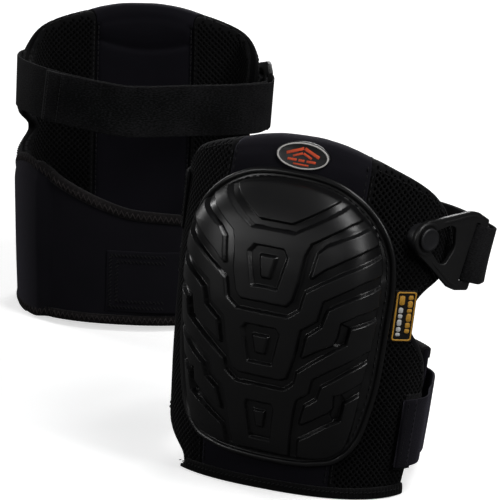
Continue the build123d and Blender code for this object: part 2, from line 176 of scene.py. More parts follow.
def plan(angle, z, off):
    """Plan of the body: x and y at an angle from the front."""
    front = np.abs(angle) <= math.pi / 2
    width = half_width(z) + off
    depth = np.where(front, front_depth(z), REAR_DEPTH) + off
    power = np.where(front, 2 / FRONT_POW, 2 / REAR_POW)
    sine, cosine = np.sin(angle), np.cos(angle)
    x = width * np.sign(sine) * np.abs(sine) ** power
    y = -depth * np.sign(cosine) * np.abs(cosine) ** power
    return x, y


# Arc length against angle, measured on the plan at mid height.
ANGLES = np.linspace(0, math.pi, 4801)
ARCS = arc_length(np.stack(plan(ANGLES, 112.0, 0.0), 1))
HALF_GIRTH = float(ARCS[-1])
GIRTH = 2 * HALF_GIRTH


def surf(arc, z, off=0.0):
    """Point of the body in the pad's frame."""
    arc, z, off = np.broadcast_arrays(*(np.asarray(v, float) for v in (arc, z, off)))
    arc = np.where(arc > HALF_GIRTH, arc - GIRTH, arc)
    arc = np.where(arc < -HALF_GIRTH, arc + GIRTH, arc)
    x, y = plan(np.sign(arc) * np.interp(np.abs(arc), ARCS, ANGLES), z, off)
    return np.stack([x, y, z], -1)


def normal(arc, z):
    """Outward normal of the body."""
    return unit(np.cross(surf(arc + 0.6, z) - surf(arc - 0.6, z),
                         surf(arc, z + 0.6) - surf(arc, z - 0.6)))


def thickness(arc):
    return PAD_T + (WING_T - PAD_T) * smooth((np.abs(arc) - 50.0) / 40.0)


class Pad:
    """Placement of one pad, and the frame of its buckle.

    calf holds the heights of the calf band's bottom and lowest top edge.
    """

    def __init__(self, name, mirrored, yaw, lean, tilt, place, stud_arc, buckle_yaw, calf):
        self.name, self.mirror = name, (-1.0 if mirrored else 1.0)
        self.place = np.array((*place, 0.0))
        self.calf_low, self.calf_top = calf
        # buckle frame: out of the plate, from the stud to the bar, and along the bar
        turn, drop = math.radians(buckle_yaw), math.radians(15.0)
        cos_turn, sin_turn = math.cos(turn), math.sin(turn)
        cos_drop, sin_drop = math.cos(drop), math.sin(drop)
        self.out = np.array((cos_turn, -sin_turn, 0.0))
        self.along = np.array((cos_drop * sin_turn, cos_drop * cos_turn, -sin_drop))
        self.across = np.array((sin_drop * sin_turn, sin_drop * cos_turn, cos_drop))
        self.stud = surf(stud_arc, STUD_Z, 0.2) + self.out * 3.2
        self.yaw, self.lean, self.tilt = (
            (math.cos(math.radians(a)), math.sin(math.radians(a))) for a in (yaw, lean, tilt))

    def turn(self, v):
        """Direction in the pad's frame to a world direction."""
        v = np.asarray(v, float)
        x, y, z = v[..., 0], v[..., 1], v[..., 2]
        cos, sin = self.tilt
        x, z = x * cos + z * sin, -x * sin + z * cos
        cos, sin = self.lean
        y, z = y * cos + z * sin, -y * sin + z * cos
        x = x * self.mirror
        cos, sin = self.yaw
        return np.stack([x * cos - y * sin, x * sin + y * cos, z], -1)

    def world(self, v):
        """Point in the pad's frame to world metres."""
        return (self.turn(v) + self.place) * 0.001

    def at_buckle(self, along, across, out):
        along, across, out = (np.asarray(v, float)[..., None] for v in (along, across, out))
        return self.stud + along * self.along + across * self.across + out * self.out

    def floor_z(self, arc, off, level):
        """Height in the pad's frame at which its surface is at a level above the floor."""
        z = np.full(np.shape(arc), 0.0)
        for _ in range(4):
            q = surf(arc, z, off)
            z = (level + q[..., 1] * self.lean[1]) / self.lean[0]
            z = (z + q[..., 0] * self.tilt[1]) / self.tilt[0]
        return z

    def body(self, part):
        return self.name + "_" + part


PADS = (
    Pad("left", mirrored=False, yaw=-24.0, lean=6.0, tilt=2.0, place=(42.914, -189.206),
        stud_arc=88.5, buckle_yaw=27.0, calf=(12.0, 80.0)),
    Pad("right", mirrored=True, yaw=176.0, lean=-6.0, tilt=0.0, place=(-80.086, 170.794),
        stud_arc=97.0, buckle_yaw=12.0, calf=(-3.0, 76.0)),
)


# =============================================================================
# materials
# =============================================================================
class Material:
    """Builds a node material. Methods take and return output sockets."""

    def __init__(self, name):
        self.data = bpy.data.materials.new(name)
        self.data.use_nodes = True
        self.tree = self.data.node_tree
        self.inputs = self.tree.nodes["Principled BSDF"].inputs
        self.uv_map = None

    def node(self, kind, values=None, **properties):
        node = self.tree.nodes.new("ShaderNode" + kind)
        for key, value in properties.items():
            setattr(node, key, value)
        for key, value in (values or {}).items():
            node.inputs[key].default_value = value
        return node

    def link(self, socket, target):
        self.tree.links.new(socket, target)

    def uv(self, x=1.0, y=1.0):
        """UV coordinates (millimetres), scaled."""
        if self.uv_map is None:
            self.uv_map = self.node("UVMap")
        mapping = self.node("Mapping", {"Scale": (x, y, 1)})
        self.link(self.uv_map.outputs[0], mapping.inputs[0])
        return mapping.outputs[0]

    def noise(self, scale, detail=3.0, stretch=(1.0, 1.0)):
        node = self.node("TexNoise", {"Scale": scale, "Detail": detail, "Roughness": 0.55})
        self.link(self.uv(*stretch), node.inputs["Vector"])
        return node.outputs[0]

    def wave(self, pitch, axis="X"):
        """Sine bands; the scale gives one band per pitch."""
        node = self.node("TexWave", {"Scale": 0.31415927, "Detail": 1.0}, bands_direction=axis)
        self.link(self.uv(1.0 / pitch, 1.0 / pitch), node.inputs["Vector"])
        return node.outputs[1]

    def math(self, operation, *terms):
        node = self.node("Math", operation=operation)
        for i, term in enumerate(terms):
            if isinstance(term, (int, float)):
                node.inputs[i].default_value = term
            else:
                self.link(term, node.inputs[i])
        return node.outputs[0]

    def weighted(self, *pairs):
        """Sum of (socket, weight) pairs."""
        total = None
        for socket, weight in pairs:
            term = self.math("MULTIPLY", socket, weight)
            total = term if total is None else self.math("ADD", total, term)
        return total

    def color(self, socket, *stops):
        """Base colour from a ramp of two (position, colour) stops."""
        ramp = self.node("ValToRGB")
        for element, (position, color) in zip(ramp.color_ramp.elements, stops):
            element.position = position
            element.color = (*color, 1)
        self.link(socket, ramp.inputs[0])
        self.link(ramp.outputs[0], self.inputs["Base Color"])

    def bump(self, socket, distance, strength):
        node = self.node("Bump", {"Strength": strength, "Distance": distance})
        self.link(socket, node.inputs["Height"])
        self.link(node.outputs[0], self.inputs["Normal"])

    def set(self, values):
        for key, value in values.items():
            self.inputs[key].default_value = value


def cloth(name, dark, light, pitch=0.6, rough=0.85, sheen=0.35, heather=0.0, bump=0.00012,
          tint=(0.6, 0.6, 0.62)):
    """Woven or knitted cloth: crossed ribs, colour flecks and a slow worn blotch."""
    m = Material(name)
    weave = m.math("MULTIPLY", m.wave(pitch, "X"), m.wave(pitch, "Y"))
    fleck = m.noise(0.72, 2.0, (0.7, 1.8)) if heather else m.noise(1.1, 2.0)
    blotch = m.noise(0.02, 2.0)
    low, high = (0.64, 0.92) if heather else (0.38, 0.86)
    mix = m.weighted((fleck, 0.55 + heather), (blotch, 0.55), (weave, 0.12))
    m.color(mix, (low, dark), (high, light))
    m.set({"Roughness": rough, "Sheen Weight": sheen * 0.40, "Sheen Roughness": 0.45,
           "Sheen Tint": (*tint, 1), "Specular IOR Level": 0.09})
    m.bump(m.weighted((weave, 0.8), (fleck, 0.5)), distance=bump, strength=0.8)
    return m.data


def hard_shell():
    """Black shell, grained and duller on the flat block tops marked by "top"."""
    m = Material("hard_shell_black")
    top = m.node("Attribute", attribute_name="top").outputs[2]
    grain, fine, blotch = m.noise(3.2, 2.0), m.noise(0.55), m.noise(0.03, 2.0)
    m.color(blotch, (0.3, (0.0035, 0.0035, 0.0038)), (0.8, (0.0060, 0.0060, 0.0064)))
    rough = m.math("ADD", m.weighted((top, 0.10), (fine, 0.07)), 0.285)
    m.link(rough, m.inputs["Roughness"])
    m.bump(m.math("MULTIPLY", grain, top), distance=0.00006, strength=0.55)
    m.set({"Specular IOR Level": 0.5, "IOR": 1.5})
    return m.data


def plastic(name, dark, light, rough=0.42, grain=0.00004):
    m = Material(name)
    speckle, blotch = m.noise(3.0, 2.0), m.noise(0.06)
    m.color(blotch, (0.3, dark), (0.8, light))
    spread = m.node("MapRange", {"To Min": rough - 0.06, "To Max": rough + 0.08})
    m.link(m.noise(0.4), spread.inputs["Value"])
    m.link(spread.outputs[0], m.inputs["Roughness"])
    m.bump(speckle, distance=grain, strength=0.6)
    return m.data


def ink(name, light, dark, pitch):
    """Raised woven or moulded colour, with a thread texture across it."""
    m = Material(name)
    threads = m.wave(pitch)
    m.color(m.weighted((threads, 0.5), (m.noise(0.9, 2.0), 0.5)), (0.15, dark), (0.75, light))
    m.set({"Roughness": 0.55})
    m.bump(threads, distance=0.00005, strength=0.5)
    return m.data


MATERIALS = {
    "shell": hard_shell(),
    "fabric": cloth("pad_fabric_nylon", dark=(0.0040, 0.0037, 0.0056),
                    light=(0.0080, 0.0074, 0.0110), pitch=0.55, rough=0.8,
                    tint=(0.52, 0.50, 0.64)),
    "liner": cloth("liner_nylon", dark=(0.0030, 0.0028, 0.0042),
                   light=(0.0052, 0.0049, 0.0072), pitch=0.5, rough=0.82, sheen=0.22,
                   tint=(0.46, 0.46, 0.6)),
    "mesh": cloth("spacer_mesh_knit", dark=(0.0026, 0.0026, 0.0028),
                  light=(0.0062, 0.0062, 0.0066), pitch=0.7, sheen=0.22),
    # knit core seen through the wing mesh holes: its own black, darkened further to near black as
    # painted shade in the holes
    "core": cloth("spacer_core_knit_painted_shade", dark=(0.0006, 0.0006, 0.0007),
                  light=(0.0014, 0.0014, 0.0016), pitch=0.8, rough=0.95, sheen=0.03),
    "web": cloth("heathered_webbing", dark=(0.0015, 0.0015, 0.0017),
                 light=(0.0158, 0.0158, 0.0170), pitch=0.75, sheen=0.12, heather=0.35,
                 bump=0.00025),
    "neo": cloth("neoprene_jersey", dark=(0.0040, 0.0037, 0.0052),
                 light=(0.0076, 0.0071, 0.0098), pitch=0.45, sheen=0.40, bump=0.00010,
                 tint=(0.56, 0.53, 0.68)),
    "bind": cloth("binding_tape_rib", dark=(0.0030, 0.0030, 0.0031),
                  light=(0.0080, 0.0080, 0.0084), rough=0.8, sheen=0.3),
    "tape": cloth("overlock_tape", dark=(0.0065, 0.0058, 0.0060),
                  light=(0.0230, 0.0200, 0.0202), pitch=0.8, sheen=0.25, heather=0.2,
                  bump=0.0002),
    "thread": cloth("sewing_thread", dark=(0.0050, 0.0050, 0.0053),
                    light=(0.0150, 0.0150, 0.0156), pitch=0.3, rough=0.6),
    "overlock": cloth("overlock_thread", dark=(0.0170, 0.0145, 0.0148),
                      light=(0.0480, 0.0400, 0.0400), pitch=0.35, rough=0.7, sheen=0.3),
    "pile": cloth("loop_pile_knit", dark=(0.0015, 0.0015, 0.0016),
                  light=(0.0110, 0.0110, 0.0115), pitch=0.9, rough=0.95, bump=0.0005,
                  heather=0.3),
    "buckle": plastic("buckle_nylon_black", dark=(0.0045, 0.0045, 0.0047),
                      light=(0.0078, 0.0078, 0.0082)),
    "stud": plastic("stud_nylon_black", dark=(0.0075, 0.0075, 0.0090),
                    light=(0.0115, 0.0115, 0.0135), rough=0.46),
    "badge": plastic("badge_ground_black", dark=(0.0050, 0.0050, 0.0054),
                     light=(0.0100, 0.0100, 0.0105), rough=0.35, grain=0.00003),
    "ring": ink("badge_ring_pale", light=(0.72, 0.70, 0.68), dark=(0.42, 0.40, 0.38), pitch=0.5),
    "mark": ink("badge_mark_orange", light=(0.85, 0.10, 0.022), dark=(0.50, 0.045, 0.012),
                pitch=0.5),
    "label": cloth("label_ground_satin", dark=(0.0070, 0.0068, 0.0066),
                   light=(0.0170, 0.0160, 0.0150), pitch=0.35, rough=0.6, sheen=0.2),
    "gold": ink("label_thread_gold", light=(0.80, 0.42, 0.045), dark=(0.42, 0.20, 0.02),
                pitch=0.4),
    "white": ink("label_thread_white", light=(0.80, 0.80, 0.78), dark=(0.45, 0.45, 0.44),
                 pitch=0.4),
}


# =============================================================================
# mesh helpers
# =============================================================================
def add_part(pad, part, material, verts, faces, uvs, body="pad", replaces=(), slot=None,
             flip=False, recalc=True, top=None, metres=False):
    """Mesh object of a pad, from points in its frame, or in world metres if told so.

    faces is a list of index arrays; uvs is in millimetres per vertex. body=None leaves the
    object unattached; top is an optional float attribute.
    """
    faces = [np.asarray(f, np.int64) for f in faces if len(f)]
    if flip:
        faces = [f[:, ::-1] for f in faces]
    corners = np.concatenate([f.ravel() for f in faces]).astype(np.int32)
    sizes = np.concatenate([np.full(len(f), f.shape[1]) for f in faces])
    starts = np.concatenate([[0], np.cumsum(sizes)[:-1]]).astype(np.int32)
    verts = verts if metres else pad.world(verts)
    mesh = bpy.data.meshes.new(pad.body(part))
    mesh.vertices.add(len(verts))
    mesh.vertices.foreach_set("co", np.asarray(verts, np.float32).ravel())
    mesh.loops.add(len(corners))
    mesh.loops.foreach_set("vertex_index", corners)
    mesh.polygons.add(len(starts))
    mesh.polygons.foreach_set("loop_start", starts)
    layer = mesh.uv_layers.new(name="UVMap")
    layer.data.foreach_set("uv", np.asarray(uvs, np.float32)[corners].ravel())
    if top is not None:
        attribute = mesh.attributes.new("top", "FLOAT", "POINT")
        attribute.data.foreach_set("value", np.asarray(top, np.float32))
    mesh.update(calc_edges=True)
    mesh.validate()
    if recalc:
        bm = bmesh.new()
        bm.from_mesh(mesh)
        bmesh.ops.recalc_face_normals(bm, faces=bm.faces)
        bm.to_mesh(mesh)
        bm.free()
    mesh.polygons.foreach_set("use_smooth", np.full(len(mesh.polygons), True))
    mesh.materials.append(MATERIALS[material])
    mesh.update()
    obj = bpy.data.objects.new(pad.body(part), mesh)
    bpy.context.scene.collection.objects.link(obj)
    if body:
        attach(obj, pad.body(body))
    if replaces:
        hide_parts(*(pad.body(r) for r in replaces))
    return obj


def mark_sharp(obj, degrees):
    bm = bmesh.new()
    bm.from_mesh(obj.data)
    for edge in bm.edges:
        if len(edge.link_faces) == 2 and edge.calc_face_angle(0) > math.radians(degrees):
            edge.smooth = False
    bm.to_mesh(obj.data)
    bm.free()


def grid_faces(rows, cols, wrap_rows=False, wrap_cols=True, base=0):
    i = np.arange(rows if wrap_rows else rows - 1)
    j = np.arange(cols if wrap_cols else cols - 1)
    i, j = np.meshgrid(i, j, indexing="ij")
    i2, j2 = (i + 1) % rows, (j + 1) % cols
    quads = [i * cols + j, i2 * cols + j, i2 * cols + j2, i * cols + j2]
    return np.stack(quads, -1).reshape(-1, 4) + base


def fan(ring, centre):
    """Triangles from a closed ring of indices to a centre."""
    return np.stack([ring, np.roll(ring, -1), np.full(len(ring), centre)], 1)


def uv_row(x, y):
    return np.stack(np.broadcast_arrays(x, y), -1)


def closed_strip(rows, uv_rows):
    """Tube from the lines of points that run along it; both ends are filled."""
    verts, uvs = np.array(rows).transpose(1, 0, 2), np.array(uv_rows).transpose(1, 0, 2)
    n, k = verts.shape[:2]
    ends = [0, n - 1]
    faces = [grid_faces(n, k)]
    for j, i in enumerate(ends):
        faces.append(fan(i * k + np.arange(k), n * k + j))
    verts = np.concatenate([verts.reshape(-1, 3), verts[ends].mean(1)])
    return verts, faces, np.concatenate([uvs.reshape(-1, 2), uvs[ends, 0]])


def thin_sheet(arc, z, top_off):
    """Thin patch on the body over an (arc, z) grid, back face at off 0.1."""
    rows, cols = arc.shape
    n = arc.size
    verts = np.concatenate([surf(arc, z, top_off).reshape(-1, 3), surf(arc, z, 0.1).reshape(-1, 3)])
    grid = grid_faces(rows, cols, wrap_cols=False)
    ids = np.arange(n).reshape(rows, cols)
    border = np.concatenate([ids[:-1, 0], ids[-1, :-1], ids[1:, -1][::-1], ids[0, 1:][::-1]])
    ahead = np.roll(border, -1)
    wall = np.stack([ahead, border, border + n, ahead + n], 1)
    uvs = np.stack([arc, z], -1).reshape(-1, 2)
    return verts, [grid, grid[:, ::-1] + n, wall], np.concatenate([uvs, uvs])


class Bag:
    """Collects several pieces into one mesh."""

    def __init__(self):
        self.verts, self.faces, self.uvs, self.count = [], {}, [], 0

    def add(self, verts, faces, uvs):
        verts = np.asarray(verts, float).reshape(-1, 3)
        self.verts.append(verts)
        self.uvs.append(np.asarray(uvs, float).reshape(-1, 2))
        for f in faces:
            self.faces.setdefault(f.shape[1], []).append(f + self.count)
        self.count += len(verts)

    def get(self):
        """Vertices, faces grouped by size, and UVs."""
        faces = [np.concatenate(group) for group in self.faces.values()]
        return np.concatenate(self.verts), faces, np.concatenate(self.uvs)


def resample(points, step, closed=False):
    """Catmull-Rom through the points, then even spacing."""
    p = np.asarray(points, float)
    if closed:
        ctrl = np.concatenate([p[-1:], p, p[:2]])
    else:
        ctrl = np.concatenate([2 * p[:1] - p[1:2], p, 2 * p[-1:] - p[-2:-1]])
    t = np.linspace(0, 1, 13)[:-1][:, None]
    curve = []
    for i in range(1, len(ctrl) - 2):
        a, b, c, d = ctrl[i - 1:i + 3]
        curve.append(0.5 * (2 * b + (c - a) * t + (2 * a - 5 * b + 4 * c - d) * t ** 2
                            + (-a + 3 * b - 3 * c + d) * t ** 3))
    curve = np.concatenate(curve + [ctrl[-2:-1]])
    run = arc_length(curve)
    n = max(int(round(run[-1] / step)), 4)
    grid = np.linspace(0, run[-1], n + 1)
    return interp_rows(grid[:-1] if closed else grid, run, curve)


def stations_along(points, pitch, closed=False):
    """Even stations on a polyline, with directions."""
    p = np.asarray(points, float)
    if closed:
        p = np.concatenate([p, p[:1]])
    run = arc_length(p)
    n = max(int(run[-1] / pitch), 1)
    grid = (np.arange(n) + 0.5) * run[-1] / n
    ahead, behind = interp_rows(grid + 0.4, run, p), interp_rows(grid - 0.4, run, p)
    return interp_rows(grid, run, p), ahead - behind


def segment_stations(start, end, pitch):
    """Even stations between two plane points, and points 1% of the segment further on."""
    start, end = np.array(start, float), np.array(end, float)
    n = max(int(math.hypot(*(end - start)) / pitch), 2)
    share = ((np.arange(n) + 0.5) / n)[:, None]
    points = start + (end - start) * share
    return points.T, (points + (end - start) * 0.01).T


def sweep(path, out, across, profile, scale=None):
    """Profile (across, out) carried along a path; scale is the thickness along it."""
    n, k = len(path), len(profile)
    scale = np.ones(n) if scale is None else scale
    verts = (path[:, None] + profile[None, :, :1] * across[:, None]
             + (profile[None, :, 1] * scale[:, None])[..., None] * out[:, None])
    run = arc_length(path)
    girth = arc_length(np.concatenate([profile, profile[:1]]))[:k]
    mid = profile.mean(0)
    ends = [0, n - 1]
    centres = path[ends] + mid[0] * across[ends] + mid[1] * scale[ends][:, None] * out[ends]
    uvs = uv_row(run[:, None], girth[None, :]).reshape(-1, 2)
    faces = [grid_faces(n, k), fan(np.arange(k), n * k)[:, [1, 2, 0]],
             fan(np.arange(k) + (n - 1) * k, n * k + 1)]
    return (np.concatenate([verts.reshape(-1, 3), centres]), faces,
            np.concatenate([uvs, uv_row(run[ends], girth.mean())]))


def rounded_box(x0, y0, x1, y1, radius, corner_points):
    points = []
    for x, y, start in ((x1 - radius, y1 - radius, 0), (x0 + radius, y1 - radius, 90),
                        (x0 + radius, y0 + radius, 180), (x1 - radius, y0 + radius, 270)):
        for i in range(corner_points):
            a = math.radians(start + 90.0 * i / (corner_points - 1))
            points.append((x + radius * math.cos(a), y + radius * math.sin(a)))
    return np.array(points)


def band_profile(width, thick, radius, low):
    """Section of a webbing band; extra points on the long faces keep the shading even."""
    corners = rounded_box(-width / 2, low, width / 2, low + thick, radius, 4)
    points = []
    for p, q in zip(corners, np.roll(corners, -1, 0)):
        points.append(p)
        length = math.hypot(*(q - p))
        if length > 3.0:
            k = int(length / 3.2)
            points += [p + (q - p) * (j / (k + 1)) for j in range(1, k + 1)]
    return np.array(points)


def stitches(bag, centres, runs, normals, length, radius, lift):
    """Adds a row of thread stitches, dipping at both ends."""
    sides = 6
    centres = np.asarray(centres, float)
    runs, normals = (unit(np.broadcast_to(np.asarray(v, float), centres.shape))
                     for v in (runs, normals))
    cross = unit(np.cross(normals, runs))
    # stations along a stitch: place, thickness and height
    place = np.array([-0.5, -0.36, 0.0, 0.36, 0.5]) * length
    thick = np.array([0.30, 0.85, 1.0, 0.85, 0.30])[:, None] * radius
    height = (np.array([-1.1, 0.1, 0.55, 0.1, -1.1]) * radius + lift)[:, None]
    angle = np.arange(sides) * 2 * math.pi / sides
    n = len(centres)
    verts = (centres[:, None, None] + place[None, :, None, None] * runs[:, None, None]
             + (height + thick * np.sin(angle))[None, ..., None] * normals[:, None, None]
             + (thick * np.cos(angle))[None, ..., None] * cross[:, None, None])
    base = (np.arange(n) * 5 * sides)[:, None, None]
    quads = (grid_faces(5, sides)[None] + base).reshape(-1, 4)
    caps, last = [], 4 * sides
    for i in range(1, sides - 1):
        caps += [[0, i, i + 1], [last, last + i + 1, last + i]]
    tris = (np.array(caps)[None] + base).reshape(-1, 3)
    x = place[None, :, None] + (np.arange(n) * 5.0)[:, None, None]
    bag.add(verts, [quads, tris], uv_row(x, (angle * radius)[None, None]))


def surf_stitches(bag, line, off, pitch, length, radius, closed=False, lift=0.15):
    """Stitches along an (arc, z) line on the body; off is a number or a function."""
    centres, dirs = stations_along(resample(line, 1.0, closed), pitch, closed)
    arc, z = centres.T
    off = off(arc, z) if callable(off) else off
    start = surf(arc, z, off)
    end = surf(arc + dirs[:, 0], z + dirs[:, 1], off)
    stitches(bag, start, end - start, normal(arc, z), length, radius, lift)


def nearest_on(shape, points):
    """Signed distance to a closed polygon, positive inside, and the nearest border points."""
    best = np.full(len(points), 1e18)
    near = np.zeros((len(points), 2))
    inside = np.zeros(len(points), bool)
    x, y = points[:, 0], points[:, 1]
    for a, b in zip(shape, np.roll(shape, -1, 0)):
        d = b - a
        share = np.clip(((points - a) @ d) / max(d @ d, 1e-12), 0, 1)
        foot = a + share[:, None] * d
        gap = ((points - foot) ** 2).sum(1)
        closer = gap < best
        best[closer] = gap[closer]
        near[closer] = foot[closer]
        if a[1] != b[1]:
            inside ^= ((a[1] > y) != (b[1] > y)) & (x < d[0] * (y - a[1]) / d[1] + a[0])
    return np.where(inside, 1, -1) * np.sqrt(best), near


def depth_in(shape, points):
    return nearest_on(np.array(shape, float), points)[0]


def depth_in_any(shapes, points):
    return np.maximum.reduce([depth_in(shape, points) for shape in shapes])


# =============================================================================
# hard cap: all tables are (arc, z)
# =============================================================================
# Right halves of the outline and of the edge where the raised face begins.
CAP_OUTLINE = [
    (0, 205), (15, 204.5), (29, 202), (39, 198), (49, 192), (58, 184), (65.5, 174), (71, 162),
    (73.5, 150), (74.5, 135), (74, 115), (73.5, 95), (72.5, 75), (70, 58), (66.5, 42),
    (62, 32), (56, 25), (49, 20), (38, 17), (26, 15), (0, 14)]
FACE_OUTLINE = [
    (0, 199.5), (15, 199), (30, 195.5), (40, 191), (50, 183), (57, 176), (62, 166),
    (64.3, 155), (65.3, 140), (65.5, 120), (64.5, 103), (63, 86), (61, 58), (59, 42),
    (56, 31), (50, 25), (43, 21.5), (30, 20), (0, 19.5)]
# Raised blocks, mirrored about the centre line.
BLOCKS = [
    [(-20, 176), (9.3, 176), (32, 192.5), (38, 197.2), (36, 215), (-20, 215)],
    [(-20, 169.6), (12, 169.6), (37, 188), (47, 195.4), (60, 190.2), (48, 183.5), (40, 180),
     (30, 173), (21, 165.7), (18.7, 158), (17.3, 141), (15, 128.4), (12.3, 124.2), (-20, 124)],
    [(24, 144.8), (24, 146), (26, 160.4), (30, 165.5), (37, 169.8), (48, 175.4), (53, 178),
     (66, 184.5), (74, 177), (59, 169), (50, 165.3), (40, 159.2), (30, 151.5)],
    [(-20, 116.5), (14.2, 116.6), (20.3, 122.5), (22.3, 134.8), (30, 141.5), (40, 149.3),
     (50, 155.3), (59, 159.8), (74, 167), (74, 154.3), (63, 149.6), (52, 146), (45, 141.5),
     (40, 138), (31, 131), (29, 118), (21, 110), (19.8, 100), (19, 92.5), (17, 82),
     (15.3, 76.4), (12, 74.6), (-20, 74.3)],
    [(23.7, 92.3), (25.4, 106.4), (32.7, 114.3), (33.4, 118.5), (35, 125.4), (40, 129.6),
     (50, 135.7), (60, 140), (74, 146), (74, 133), (63, 129), (50, 124.3), (45, 121),
     (41.3, 118.7), (40.4, 108.7), (38.3, 103.1), (30, 97.6)],
    [(-20, 67.3), (15, 67.3), (21, 73.5), (22, 81), (30, 89.3), (40, 98.7), (46.6, 104),
     (47.7, 114.5), (63, 120), (74, 124), (74, 103), (63, 100), (59, 99.2), (50, 94), (40, 87),
     (31.5, 80), (29.9, 78), (28.6, 68.7), (22.5, 62.8), (21.5, 60), (20.5, 52), (20, 44.8),
     (19.3, 35), (19, 27), (19, 0), (-20, 0)],
    [(26, 46), (26, 48), (28, 59.2), (34.5, 65), (36.3, 74), (40, 77), (50, 85.3),
     (60.6, 91.4), (74, 99), (74, 86.5), (59.4, 78.4), (50, 72.6), (46.7, 70.3), (42.8, 69.2),
     (43.5, 60.3), (41.1, 57), (36.7, 53.9), (32.2, 50.3)],
    [(25.5, 0), (25.5, 20), (25.5, 30), (26, 34.3), (30, 37.2), (40, 45.3), (45, 48.7),
     (50, 51.4), (50.8, 63.7), (52.2, 64.8), (59.4, 69.2), (74, 77.5), (74, 0)],
]
# Recesses on the centre line and the bosses that stand in them.
RECESSES = [
    [(-8.1, 160), (8.1, 160), (10.9, 154.7), (7.2, 133), (-7.2, 133), (-10.9, 154.7)],
    [(-8.5, 108.5), (8.5, 108.5), (10.9, 104.5), (7.6, 82.5), (-7.6, 82.5), (-10.9, 104.5)],
    [(-8, 56.5), (8, 56.5), (9.5, 52.5), (7.4, 29.5), (-7.4, 29.5), (-9.5, 52.5)]]
BOSSES = [
    [(-4, 153), (4, 153), (2, 140), (-2, 140)],
    [(-4, 101), (4, 101), (2.2, 90), (-2.2, 90)],
    [(-3.2, 49.5), (3.2, 49.5), (1.6, 39), (-1.6, 39)]]
# Deeper pockets in the grooves, mirrored.
POCKETS = [
    [(40.4, 119.6), (40.2, 108), (38, 102.2), (44.6, 101.6), (48.5, 104), (49, 115.5)],
    [(43.0, 60.3), (42.4, 69.6), (48, 71.2), (52, 66), (52, 51.4), (45, 50), (42, 55)]]
BLOCK_WALL, RECESS_WALL, BOSS_WALL = 1.15, 1.05, 1.1     # plan widths of the sloping walls
LIP_WIDTH = 2.2
CAP_CENTRE = np.array((0.0, 110.0))
SKIRT = [(1.4, 0.35), (0.5, 0.35), (0.0, 0.7), (-0.15, 1.5)]     # (inset, off) under the bead
BEAD_INSETS = [0.0, 0.35, 0.8, 1.3, 1.9, 2.5, 3.0, 3.4, 3.8, 4.3, 5.0]
NOTCHES = [(-74.3, 121.0), (5.0, 14.0)]     # parting notches in the bead


def mirror_loop(half):
    return np.array(half + [(-x, z) for x, z in half[::-1] if x > 0.01], float)


FACE_LOOP = resample(mirror_loop(FACE_OUTLINE), 3.0, True)


def face_depth(points):
    return depth_in(FACE_LOOP, points)


def block_depth(points):
    return depth_in_any(BLOCKS, np.stack([np.abs(points[:, 0]), points[:, 1]], 1))


def recess_depth(points):
    return depth_in_any(RECESSES, points)


def boss_depth(points):
    return depth_in_any(BOSSES, points)


def cap_height(arc, z):
    """Height over the flange, and a 0..1 mark of the flat block tops."""
    points, folded = np.stack([arc, z], 1), np.stack([np.abs(arc), z], 1)
    inset = face_depth(points)
    face_arc, face_z = np.array(FACE_OUTLINE[::-1]).T
    reach = np.maximum(np.interp(z, face_z, face_arc) + 5.5, 6.0)
    dome = dome_height(z) * (1 - clamp(np.abs(arc) / reach) ** 5) ** 1.5
    lip = clamp(inset / LIP_WIDTH)
    block = block_depth(points)
    groove = clamp(-block / BLOCK_WALL)     # 0 on a block, 1 on a groove floor
    depth = 3.1 * groove
    for pocket in POCKETS:
        depth = depth + 1.5 * smooth((depth_in(pocket, folded) - 0.4) / 1.4) * groove
    recess, boss = recess_depth(points), boss_depth(points)
    depth = depth + 2.7 * clamp(recess / RECESS_WALL)
    depth = depth - 2.3 * clamp((boss + BOSS_WALL) / BOSS_WALL) * (recess > 0.5)
    clear = np.maximum(1 - clamp((recess + 0.7) / 0.7), clamp((boss - 0.2) / 0.5))
    flat = clamp((block - 0.25) / 0.5) * clear
    height = dome + 1.1 * lip - depth * clamp(inset / 2.6)
    height = np.where(inset > 0, np.maximum(height, 0.0), 0.0) * lip
    return height, flat * clamp((inset - 2.6) / 1.0)


def snap(points, field, levels, radius):
    """Draws nearby points on to the field's contour lines, so that edges run clean."""
    value, e = field(points), 0.12
    for level in levels:
        near = np.abs(value - level) < radius
        if not near.any():
            continue
        q = points[near]
        slope = np.stack([field(q + [e, 0]) - field(q - [e, 0]),
                          field(q + [0, e]) - field(q - [0, e])], 1) / (2 * e)
        step = (value[near] - level) / np.maximum((slope ** 2).sum(1), 0.25)
        points[near] = q - slope * step[:, None]
    return points


def inward_normals(loop):
    run = np.roll(loop, -1, 0) - np.roll(loop, 1, 0)
    inward = np.stack([-run[:, 1], run[:, 0]], 1)
    inward /= np.linalg.norm(inward, axis=1, keepdims=True)
    return inward * np.sign(((CAP_CENTRE - loop) * inward).sum(1))[:, None]


def face_normals(face):
    """Shading normals of the raised face, from differences of its height."""
    folded = np.round(np.stack([np.abs(face[:, 0]), face[:, 1]], 1), 3)
    key, inverse = np.unique(folded, axis=0, return_inverse=True)
    arc, z = key.T
    e = 0.42

    def at(d_arc, d_z):
        height = cap_height(arc + d_arc, z + d_z)[0]
        return surf(arc + d_arc, z + d_z, FLANGE + height)
    normals = unit(np.cross(at(e, 0) - at(-e, 0), at(0, e) - at(0, -e)))
    normals[face_depth(key) < 0.6] = 0.0
    normals = normals[inverse.ravel()]
    normals[:, 0] *= np.where(face[:, 0] < 0, -1.0, 1.0)
    normals[np.abs(face[:, 0]) < 0.02, 0] = 0.0
    return normals


